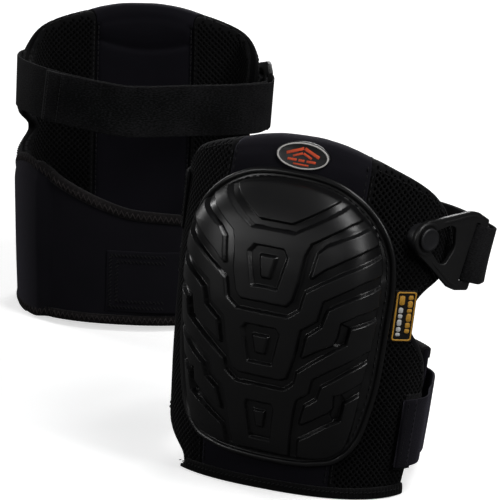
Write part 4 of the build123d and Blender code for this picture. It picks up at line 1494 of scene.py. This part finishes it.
def build_strap_box(pad, course):
    """Crossed box stitch on the sewn end; corners are (length, across)."""
    surface = course.path + course.out * (STRAP_GAP + STRAP_T + course.ripple)[:, None]

    def band_point(length, across):
        at, direction = (interp_rows(length, course.length, v) for v in (surface, course.across))
        return at + direction * across[:, None]
    x0, x1, half = 3, 27, 15.5
    bag = Bag()
    for start, end in (((x0, -half), (x0, half)), ((x1, -half), (x1, half)),
                       ((x0, half), (x1, half)), ((x0, -half), (x1, -half)),
                       ((x0, -half), (x1, half)), ((x0, half), (x1, -half))):
        here, ahead = segment_stations(start, end, 3.4)
        centres = band_point(*here)
        stitches(bag, centres, band_point(*ahead) - centres,
                 interp_rows(here[0], course.length, course.out), 2.5, 0.36, 0.12)
    add_part(pad, "strap_box_stitch", "thread", *bag.get())


def build_strap(pad):
    course = StrapCourse(pad)
    build_strap_band(pad, course)
    build_strap_tail(pad, course)
    build_strap_box(pad, course)


# =============================================================================
# buckle and stud: plane points are (from the stud to the bar, along the bar)
# =============================================================================
BUCKLE_HALF = 26.0
# Upper half of the outline: (x, y, corner radius).
PLATE_HALF = [
    (-9.6, 6.4, 6), (-3.5, 11.2, 8), (8.5, 16.2, 10), (30.0, BUCKLE_HALF - 0.4, 4),
    (36.5, BUCKLE_HALF + 0.2, 3), (47.4, 23.8, 2.2)]
PLATE_OUTLINE = [(-11.4, 0.01, 9)] + PLATE_HALF + [(x, -y, r) for x, y, r in PLATE_HALF[::-1]]
KEYHOLE = [
    (0.6, 3.9, 1.5), (16.0, 12.8, 4), (20.8, 12.4, 4), (25.2, 0, 12), (20.8, -12.4, 4),
    (16.0, -12.8, 4), (0.6, -3.9, 1.5), (-2.7, -2.7, 2), (-3.95, 0, 2.4), (-2.7, 2.7, 2)]
SLOT = [(37.3, -19.5, 1.0), (40.2, -19.5, 1.0), (40.2, 19.5, 1.0), (37.3, 19.5, 1.0)]
# Sections: (sideways, height).
RIM_PROFILE = [(-1.5, -0.3), (-1.35, 0.5), (-0.7, 0.95), (0.0, 1.1), (0.75, 0.95),
               (1.35, 0.45), (1.55, -0.3)]
RIB_PROFILE = [(-1.1, -0.3), (-0.8, 0.3), (0, 0.55), (0.8, 0.3), (1.1, -0.3)]
# Stud: (radius, height), the head's over the plate, the boss's over the plate's back.
STUD_HEAD = [(0.001, 2.35), (3.0, 2.35), (5.6, 2.45), (6.4, 2.72), (7.0, 2.55), (7.45, 2.1),
             (7.5, 1.5), (7.35, 0.8), (6.9, 0.4), (3.6, 0.32), (3.4, 0)]
STUD_BOSS = [(3.4, -0.3), (4.2, -0.45), (8.0, -0.5), (8.6, -0.9), (9.0, -2.0), (9.2, -6.0),
             (9.0, -8.0), (0.001, -8.0)]


def fillet(corners, k):
    """Rounds the (x, y, radius) corners of a closed outline, k points to each."""
    corners = np.array(corners, float)
    points, radii = corners[:, :2], corners[:, 2]
    t = np.linspace(0, 1, k)[:, None]
    rounded = []
    for before, at, after, radius in zip(np.roll(points, 1, 0), points,
                                         np.roll(points, -1, 0), radii):
        back, ahead = before - at, after - at
        back_len, ahead_len = np.linalg.norm(back), np.linalg.norm(ahead)
        back, ahead = back / back_len, ahead / ahead_len
        angle = math.acos(np.clip((back * ahead).sum(), -0.9999, 0.9999))
        cut = min(radius / math.tan(angle / 2), back_len * 0.48, ahead_len * 0.48)
        rounded.append((1 - t) ** 2 * (at + back * cut) + 2 * t * (1 - t) * at
                       + t * t * (at + ahead * cut))
    return np.concatenate(rounded)


def bevelled_plate(loops, thick, bevel):
    """Plate standing on z = 0 with holes and rounded edges, made through a filled curve."""
    curve = bpy.data.curves.new("buckle_profile", "CURVE")
    curve.dimensions = "2D"
    curve.fill_mode = "BOTH"
    for loop in loops:
        spline = curve.splines.new("POLY")
        spline.points.add(len(loop) - 1)
        for i, (x, y) in enumerate(loop):
            spline.points[i].co = (x, y, 0, 1)
        spline.use_cyclic_u = True
    curve.extrude = thick / 2 - bevel
    curve.bevel_depth = bevel
    curve.bevel_resolution = 3
    curve.offset = -bevel
    obj = bpy.data.objects.new("buckle_profile", curve)
    bpy.context.scene.collection.objects.link(obj)
    graph = bpy.context.evaluated_depsgraph_get()
    mesh = bpy.data.meshes.new_from_object(obj.evaluated_get(graph))
    verts = np.zeros(len(mesh.vertices) * 3)
    mesh.vertices.foreach_get("co", verts)
    verts = verts.reshape(-1, 3)
    verts[:, 2] += thick / 2
    by_size = {}
    for polygon in mesh.polygons:
        by_size.setdefault(len(polygon.vertices), []).append(list(polygon.vertices))
    bpy.data.objects.remove(obj)
    bpy.data.curves.remove(curve)
    bpy.data.meshes.remove(mesh)
    return verts, [np.array(group) for group in by_size.values()]


def add_ridge(bag, pad, path, sideways, profile, run, ramp, low):
    """Ridge on the plate; its height sinks to the share low over ramp points at each end."""
    n, k = len(path), len(profile)
    ends = np.minimum(np.arange(n), n - 1 - np.arange(n))
    fade = smooth(ends / ramp) * (1 - low) + low
    shift, height = np.array(profile, float).T
    points = path[:, None] + shift[None, :, None] * sideways[:, None]
    verts = pad.at_buckle(points[..., 0], points[..., 1],
                          BUCKLE_T + 0.1 + height[None] * fade[:, None])
    faces = [grid_faces(n, k)]
    for base in (0, (n - 1) * k):
        faces.append(np.array([[base, base + i, base + i + 1] for i in range(1, k - 1)]))
    bag.add(verts, faces, uv_row(run[:, None], shift[None]))


def build_buckle(pad):
    loops = [fillet(PLATE_OUTLINE, 7), fillet(KEYHOLE, 7)[::-1], fillet(SLOT, 5)[::-1]]
    verts, faces = bevelled_plate(loops, BUCKLE_T + 0.15, bevel=0.62)
    bag = Bag()
    bag.add(pad.at_buckle(*verts.T), faces, verts[:, :2])
    # raised rim round the stud seat
    angle = np.radians(np.linspace(52, 308, 58))
    spokes = np.stack([np.cos(angle), np.sin(angle)], 1)
    rim_radius = 9.7
    add_ridge(bag, pad, spokes * rim_radius, spokes, RIM_PROFILE, angle * rim_radius,
              ramp=7.0, low=0.15)
    # stiffening ribs along both arms
    for side in (-1, 1):
        path = resample([(8.5, side * 12.4), (20, side * 17.6), (31, side * 22.5),
                         (38, side * 23.3)], 1.2)
        run = unit(np.gradient(path, axis=0))
        add_ridge(bag, pad, path, np.stack([-run[:, 1], run[:, 0]], 1), RIB_PROFILE,
                  np.arange(len(path)) * 1.2, ramp=5.0, low=0.1)
    obj = add_part(pad, "buckle_plate", "buckle", *bag.get(), body="buckle",
                   replaces=("buckle",), slot="buckle_plastic")
    mark_sharp(obj, 35)


def build_stud(pad):
    """Turned stud: flat head with a rounded rim, neck, and a flared boss on the wing."""
    sides = 56
    profile = np.array([(r, BUCKLE_T + h) for r, h in STUD_HEAD] + STUD_BOSS)
    radius, height = profile[:, :1], profile[:, 1:]
    angle = np.linspace(0, 2 * math.pi, sides, endpoint=False)
    x, y = (radius * np.cos(angle)).ravel(), (radius * np.sin(angle)).ravel()
    verts = pad.at_buckle(x, y, np.repeat(height, sides, 1).ravel())
    obj = add_part(pad, "stud_turned", "stud", verts, [grid_faces(len(profile), sides)],
                   np.stack([x, y + 200], 1), replaces=("stud", "stud_base"),
                   slot="buckle_plastic")
    mark_sharp(obj, 40)


# =============================================================================
# calf band, gusset and closure
# =============================================================================
BAND_START, BAND_END = 192.0, GIRTH - 190.0
WING_TIP = GIRTH - 189.4      # arc at which the gusset climbs on to the medial wing
# Tape folded over an edge: (off, distance beyond the edge). The first five rows are ribbed.
TAPE_PROFILE = [
    (0.05, -6.4), (0.15, -3.4), (0.1, -0.2), (-0.9, 0.9), (-3.0, 1.15), (-5.2, 0.9),
    (-6.3, -0.2), (-6.3, -6.8), (-5.4, -6.9), (-5.3, -1.0), (-3.0, -0.1), (-0.9, -1.0),
    (-0.75, -6.5)]
# Gusset edges against the arc on the medial side: upper edges of both pads, left lower edge.
GUSSET_ARC = [112, 116, 120, 126, 134, 144, 156, 168, 176, 184, 189.4]
GUSSET_TOP_LEFT = [84, 92, 97, 102, 107, 111.5, 115.0, 117.0, 117.2, 116.6, 115.8]
GUSSET_TOP_RIGHT = [84, 91, 95.5, 100, 105, 109.5, 113.5, 115.5, 115.6, 113.6, 111.4]
GUSSET_LOW_LEFT = [30.5, 32.0, 33.5, 35.5, 37.0, 37.5, 35.0, 30.0, 24.0, 18.0, 13.0]
CLOSURE_H = 46.0


def band_wobble(arc, z):
    return 0.8 * (0.55 * wobble(arc, z, 0.035, 61) + 0.25 * wobble(arc, z, 0.11, 62))


def band_top(pad, arc):
    return pad.calf_top + np.interp(BAND_END - arc, *RISE_CURVE)


def add_tape(pad, part, arc, edge_z, up, offset, **options):
    """Tape folded over an edge; up is 1 for a top edge, -1 for a bottom one."""
    rib = 0.14 * np.sin(arc * 2 * math.pi / 3.4)
    rows = []
    for j, (off, beyond) in enumerate(TAPE_PROFILE):
        z = edge_z + up * beyond
        rows.append(surf(arc, z, offset(z, off) + (rib if j < 5 else 0)))
    uvs = [uv_row(arc, j * 2.0) for j in range(len(rows))]
    return add_part(pad, part, "tape", *closed_strip(rows, uvs), slot="calf_tape", **options)


def add_overlock(pad, part, arc, z, off, body):
    """Overlock threads: stitches slanted to and fro across a tape."""
    slant = np.where(np.arange(len(arc)) % 2 == 0, 0.55, -0.55)[:, None]
    runs = unit(surf(arc + 1, z, 0.2) - surf(arc - 1, z, 0.2)) * slant + np.array(UP)
    bag = Bag()
    stitches(bag, surf(arc, z, off), runs, normal(arc, z), 5.2, 0.36, 0.1)
    return add_part(pad, part, "overlock", *bag.get(), body=body)


def build_calf_band(pad):
    arc = np.linspace(BAND_START, BAND_END, 200)
    low, top = pad.calf_low, band_top(pad, arc)
    steps, radius = 34, 2.4
    # section: (off, share of the height, rise of the rounded edge, UV shift)
    section = [(-1.0, t, 0.0, 0) for t in np.linspace(0, 1, steps)]
    section += [(-3.0 + 2.0 * math.cos(a), 1.0, radius * math.sin(a), 0)
                for a in np.linspace(0, math.pi, 9)[1:-1]]
    section += [(-5.0, t, 0.0, 200) for t in np.linspace(1, 0, steps)]
    section += [(-3.0 + 2.0 * math.cos(a), 0.0, radius * math.sin(a), 0)
                for a in np.linspace(math.pi, 2 * math.pi, 9)[1:-1]]
    rows, uvs = [], []
    for off, share, rise, shift in section:
        z = low + radius + (top - low - 2 * radius) * share + rise
        rows.append(surf(arc, z, off + band_wobble(arc, z)))
        uvs.append(np.stack([arc, z + shift], -1))
    add_part(pad, "calf_band_neoprene", "neo", *closed_strip(rows, uvs), body="calf_band",
             replaces=("calf_band",), slot="neoprene")

    tape_arc = np.linspace(BAND_START + 0.3, BAND_END - 13.0, 330)
    thread_arc = np.arange(BAND_START + 3, BAND_END - 14, 2.1)
    for edge, up in (("top", 1), ("bottom", -1)):
        tape_z, thread_z = (band_top(pad, a) if up > 0 else np.full(len(a), low)
                            for a in (tape_arc, thread_arc))
        add_tape(pad, f"calf_{edge}_tape_sewn", tape_arc, tape_z, up,
                 lambda z, off: off + band_wobble(tape_arc, z),
                 body="calf_band", replaces=(f"calf_band_{edge}_tape",))
        thread_z = thread_z - up * 3.1
        add_overlock(pad, f"calf_{edge}_overlock", thread_arc, thread_z,
                     0.25 + band_wobble(thread_arc, thread_z), body="calf_band")


def gusset_top(pad, arc):
    table = GUSSET_TOP_LEFT if pad.mirror > 0 else GUSSET_TOP_RIGHT
    wing = np.interp(GIRTH - arc, GUSSET_ARC, table)
    band = band_top(pad, arc)
    return band + (wing - band) * smooth((arc - (BAND_END - 6.0)) / 14.0)


def gusset_low(pad, arc):
    if pad.mirror > 0:
        wing = np.interp(GIRTH - arc, GUSSET_ARC, GUSSET_LOW_LEFT)
    else:
        wing = pad.floor_z(arc - GIRTH, 1.0, 2.0)
    return pad.calf_low + (wing - pad.calf_low) * smooth((arc - (BAND_END - 8.0)) / 16.0)


def gusset_off(pad, arc, z):
    """Outer face: the band's at first, then lying over the wing."""
    share = smooth((arc - (BAND_END - 13.0)) / 14.0)
    full = (smooth((gusset_top(pad, arc) - z) / 16.0)
            * smooth((z - gusset_low(pad, arc)) / 6.0 + 0.25))
    over = 0.55 + 1.7 * full + 0.3 * wobble(arc - GIRTH, z, 0.05, 81)
    return (-0.86 + band_wobble(arc, z)) * (1 - share) + over * share


def build_gusset(pad):
    """Neoprene over the medial wing's lower lobe, running on to the band's end."""
    def follow(obj):
        pad.body("pad")
        pad.body("calf_band")
        pad.world(surf(-184.0, 60.0, -2.0))
        pad.world(surf(BAND_END - 11.0, 60.0, -2.0))
        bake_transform(obj)
    arc = np.concatenate([np.linspace(BAND_END - 14.0, WING_TIP, 18)[:-1],
                          np.linspace(WING_TIP, GIRTH - 112.0, 80)])
    plain_top = gusset_top(pad, arc)
    top = np.convolve(np.pad(plain_top, 2, mode="edge"), np.ones(5) / 5, mode="valid")
    top[:3] = plain_top[:3]
    low = gusset_low(pad, arc) + 0.6
    inner = -2.2 + 2.45 * smooth((arc - WING_TIP) / 5.0)
    steps = 52
    rows, uvs = [], []
    for outside, shares in ((True, np.linspace(0, 1, steps)), (False, np.linspace(1, 0, steps))):
        for share in shares:
            z = low + (top - 0.8 - low) * share
            off = gusset_off(pad, arc, z)
            rows.append(surf(arc, z, off if outside else np.minimum(inner, off - 0.4)))
            uvs.append(np.stack([arc, z + (300 if outside else 0)], -1))
    follow(add_part(pad, "gusset_neoprene", "neo", *closed_strip(rows, uvs), body=None,
                    replaces=("gusset",), slot="neoprene"))

    for edge, up, end, edge_z in (("top", 1, 113.5, gusset_top), ("bottom", -1, 118.0, gusset_low)):
        tape_arc = np.linspace(BAND_END - 13.2, GIRTH - end, 150)
        tape_z = edge_z(pad, tape_arc)
        on_wing = smooth((tape_arc - (WING_TIP - 2.0)) / 6.0)
        base = gusset_off(pad, tape_arc, tape_z - up * 3.0) + 0.12 * on_wing
        # on the wing the fold is shallow
        follow(add_tape(
            pad, f"gusset_{edge}_tape_sewn", tape_arc, tape_z, up,
            lambda z, off: base + off * (1 - on_wing) + max(off, -1.3) * on_wing, body=None))
        thread_arc = np.arange(BAND_END - 12.0, tape_arc[-1] - 1.5, 2.1)
        thread_z = edge_z(pad, thread_arc) - up * 3.1
        follow(add_overlock(pad, f"gusset_{edge}_overlock", thread_arc, thread_z,
                            gusset_off(pad, thread_arc, thread_z) + 0.36, body=None))


def closure_inner(arc):
    """Offset of the closure strap's inner face along its run."""
    dip, settle, tuck = (smooth((arc - start) / width)
                         for start, width in ((110.0, 32.0), (160.0, 34.0), (236.0, 24.0)))
    return (2.1 - 7.0 * dip) * (1 - settle) + 0.3 * settle - 1.7 * tuck


def build_closure_box(pad):
    """Double box of slanted stitches that holds the closure strap's far end on the band."""
    x0, x1 = 228.0, 270.5
    z0, z1 = pad.calf_low + 12.5, pad.calf_low + 51.5
    bag = Bag()
    for start, end in (((x1, z0), (x1, z1)), ((x1 - 5.0, z0 + 4), (x1 - 5.0, z1 - 4)),
                       ((x1, z1), (x0, z1)), ((x1 - 5, z1 - 4.5), (x0, z1 - 4.5)),
                       ((x1, z0), (x0, z0)), ((x1 - 5, z0 + 4.5), (x0, z0 + 4.5))):
        (arc, z), ahead = segment_stations(start, end, 2.7)
        off = closure_inner(arc) + CLOSURE_T
        centres = surf(arc, z, off)
        normals = normal(arc, z)
        runs = unit(surf(*ahead, off) - centres)
        slant = unit(np.cross(normals, runs)) * 1.1
        stitches(bag, centres, runs + slant, normals, 3.4, 0.42, 0.18)
    add_part(pad, "calf_box_stitch", "thread", *bag.get(), body="calf_band")


def build_closure(pad):
    """Closure strap over the lateral wing, with a thicker hem at its leading end."""
    low = pad.calf_low + 9.0
    arc = np.linspace(91.0, 273.5, 180)
    heights = low + 1.0 + (CLOSURE_H - 2.0) * np.linspace(0, 1, 16)
    # section: (share of the thickness, z)
    section = [(1.0, z) for z in heights]
    section += [(0.5 + 0.5 * math.cos(a), low + CLOSURE_H - 1 + math.sin(a))
                for a in np.linspace(0, math.pi, 6)[1:-1]]
    section += [(0.0, z) for z in heights[::-1]]
    section += [(0.5 + 0.5 * math.cos(a), low + 1 + math.sin(a))
                for a in np.linspace(math.pi, 2 * math.pi, 6)[1:-1]]
    thick = CLOSURE_T + smooth((101.0 - arc) / 1.2) * 0.9
    rows, uvs = [], []
    for share, z in section:
        off = closure_inner(arc) + thick * share + 0.22 * wobble(arc, z, 0.1, 71)
        rows.append(surf(arc, z, off))
        uvs.append(uv_row(arc, z + (100 if share < 0.4 else 0)))
    add_part(pad, "closure_strap_neoprene", "neo", *closed_strip(rows, uvs), body="calf_band",
             replaces=("closure_strap", "closure_hook_tab"), slot="neoprene")
    bag = Bag()
    z = np.arange(low + 3, low + CLOSURE_H - 2, 3.6)
    for hem_arc in (93.5, 99.5):
        stitches(bag, surf(hem_arc, z, 4.55), UP, normal(hem_arc, z), 2.6, 0.38, 0.2)
    add_part(pad, "closure_stitch", "thread", *bag.get(), body="calf_band")


def build_loop_patch(pad):
    """Loop pile patch on the wing under the closure strap."""
    low = pad.calf_low
    arc, z = np.meshgrid(np.linspace(93.5, 108.5, 22), np.linspace(low + 6.5, low + 57.5, 50),
                         indexing="ij")
    off = 0.95 + np.random.RandomState(4).uniform(-0.12, 0.22, arc.shape)
    add_part(pad, "loop_patch_pile", "pile", *thin_sheet(arc, z, off),
             replaces=("loop_patch",), slot="loop_pile")


# =============================================================================
# stage, light, camera
# =============================================================================
# Area lights: name, place, target, (width, height), power; metres and watts.
LIGHTS = [
    ("softbox_top", (0.55, -0.45, 1.5), (0, 0, 0.1), (0.45, 0.55), 9),
    ("softbox_right", (1.15, -1.15, 1.0), (0.0, -0.15, 0.13), (0.26, 0.7), 8),
    ("softbox_left", (-1.4, -0.9, 0.75), (-0.05, -0.15, 0.12), (0.16, 0.9), 5),
    ("rim_back", (0.5, 2.1, 1.3), (0, 0, 0.1), (0.9, 0.5), 20),
    ("rim_back_left", (-1.5, 1.2, 0.9), (-0.05, 0.1, 0.12), (0.3, 0.8), 9),
    ("fill_front", (-0.5, -2.6, 1.3), (0, 0, 0.1), (0.7, 0.4), 3),
]
CAMERA_BASE = (0.011914, -0.189206, 0.0)     # floor point the camera is placed from
CAMERA_DISTANCE = 2.143
CAMERA_DOWN, CAMERA_ROLL = math.radians(20.0), math.radians(2.0)
CAMERA_YAW = 0.0014
LENS, SENSOR = 231.4, 36.0
BASE_DROP = 15.264     # the base lies this far below the picture's centre, mm on the sensor


def color_by_ray(tree, ray, other, seen, target):
    """Gives the target input one colour for camera rays and another for the rest."""
    mix = tree.nodes.new("ShaderNodeMix")
    mix.data_type = "RGBA"
    mix.inputs[6].default_value = other
    mix.inputs[7].default_value = seen
    tree.links.new(ray, mix.inputs[0])
    tree.links.new(mix.outputs[2], target)


def build_floor():
    """Pale floor that glows for the camera but throws little light back."""
    mesh = bpy.data.meshes.new("floor")
    corners = [(x, y, -0.0005) for x, y in ((-8, -8), (8, -8), (8, 8), (-8, 8))]
    mesh.from_pydata(corners, [], [(0, 1, 2, 3)])
    floor = bpy.data.objects.new("studio_floor", mesh)
    bpy.context.scene.collection.objects.link(floor)
    m = Material("studio_pale")
    # the base colour here only serves if the mix below is unlinked
    m.set({"Base Color": (0.86, 0.86, 0.86, 1), "Roughness": 0.9, "Specular IOR Level": 0.1,
           "Emission Color": (1, 1, 1, 1)})
    ray = m.node("LightPath").outputs["Is Camera Ray"]
    glow = m.node("MapRange", {"To Min": 0.0, "To Max": 0.62})
    m.link(ray, glow.inputs["Value"])
    m.link(glow.outputs[0], m.inputs["Emission Strength"])
    color_by_ray(m.tree, ray, other=(0.10, 0.10, 0.10, 1), seen=(0.80, 0.80, 0.80, 1),
                 target=m.inputs["Base Color"])
    mesh.materials.append(m.data)


def build_world():
    world = bpy.data.worlds.new("studio")
    bpy.context.scene.world = world
    world.use_nodes = True
    tree = world.node_tree
    ray = tree.nodes.new("ShaderNodeLightPath").outputs["Is Camera Ray"]
    color_by_ray(tree, ray, other=(0.045, 0.045, 0.047, 1), seen=(1.0, 1.0, 1.0, 1),
                 target=tree.nodes["Background"].inputs["Color"])


def build_lights():
    for name, place, target, size, power in LIGHTS:
        light = bpy.data.lights.new(name, "AREA")
        light.shape = "RECTANGLE"
        light.size, light.size_y = size
        light.energy = power
        obj = bpy.data.objects.new(name, light)
        bpy.context.scene.collection.objects.link(obj)
        obj.location = place
        aim = Vector(target) - Vector(place)
        obj.rotation_euler = aim.to_track_quat("-Z", "Y").to_euler()


def rotate_pair(first, second, angle):
    """Turns two square axes in their plane, the first towards the second."""
    cos, sin = math.cos(angle), math.sin(angle)
    return first * cos + second * sin, second * cos - first * sin


def build_camera():
    """Camera placed square to the base, then tipped up so that the pads fill the picture."""
    forward, up = rotate_pair(Vector((0, 1, 0)), Vector((0, 0, 1)), -CAMERA_DOWN)
    right, up = rotate_pair(Vector((1, 0, 0)), up, CAMERA_ROLL)
    place = Vector(CAMERA_BASE) - forward * CAMERA_DISTANCE
    tip = math.atan(BASE_DROP / LENS)
    forward, up = rotate_pair(forward, up, tip)
    forward, right = rotate_pair(forward, right, CAMERA_YAW)
    camera = bpy.data.cameras.new("photo_camera")
    camera.lens, camera.sensor_width = LENS / math.cos(tip), SENSOR
    camera.clip_end = 50
    obj = bpy.data.objects.new("photo_camera", camera)
    bpy.context.scene.collection.objects.link(obj)
    matrix = Matrix((right, up, -forward)).transposed().to_4x4()
    matrix.translation = place
    obj.matrix_world = matrix
    bpy.context.scene.camera = obj


# =============================================================================
# build everything
# =============================================================================
build_caps()
for pad in PADS:
    build_centre(pad)
    build_seams(pad)
    build_wing(pad, 1)
    build_wing(pad, -1)
    build_binding(pad)
    build_badge(pad)
    build_label(pad)
    build_strap(pad)
    build_buckle(pad)
    build_stud(pad)
    build_calf_band(pad)
    build_gusset(pad)
    build_closure_box(pad)
    build_closure(pad)
    build_loop_patch(pad)

build_floor()
build_world()
build_lights()
build_camera()
bpy.context.scene.view_settings.view_transform = "Standard"
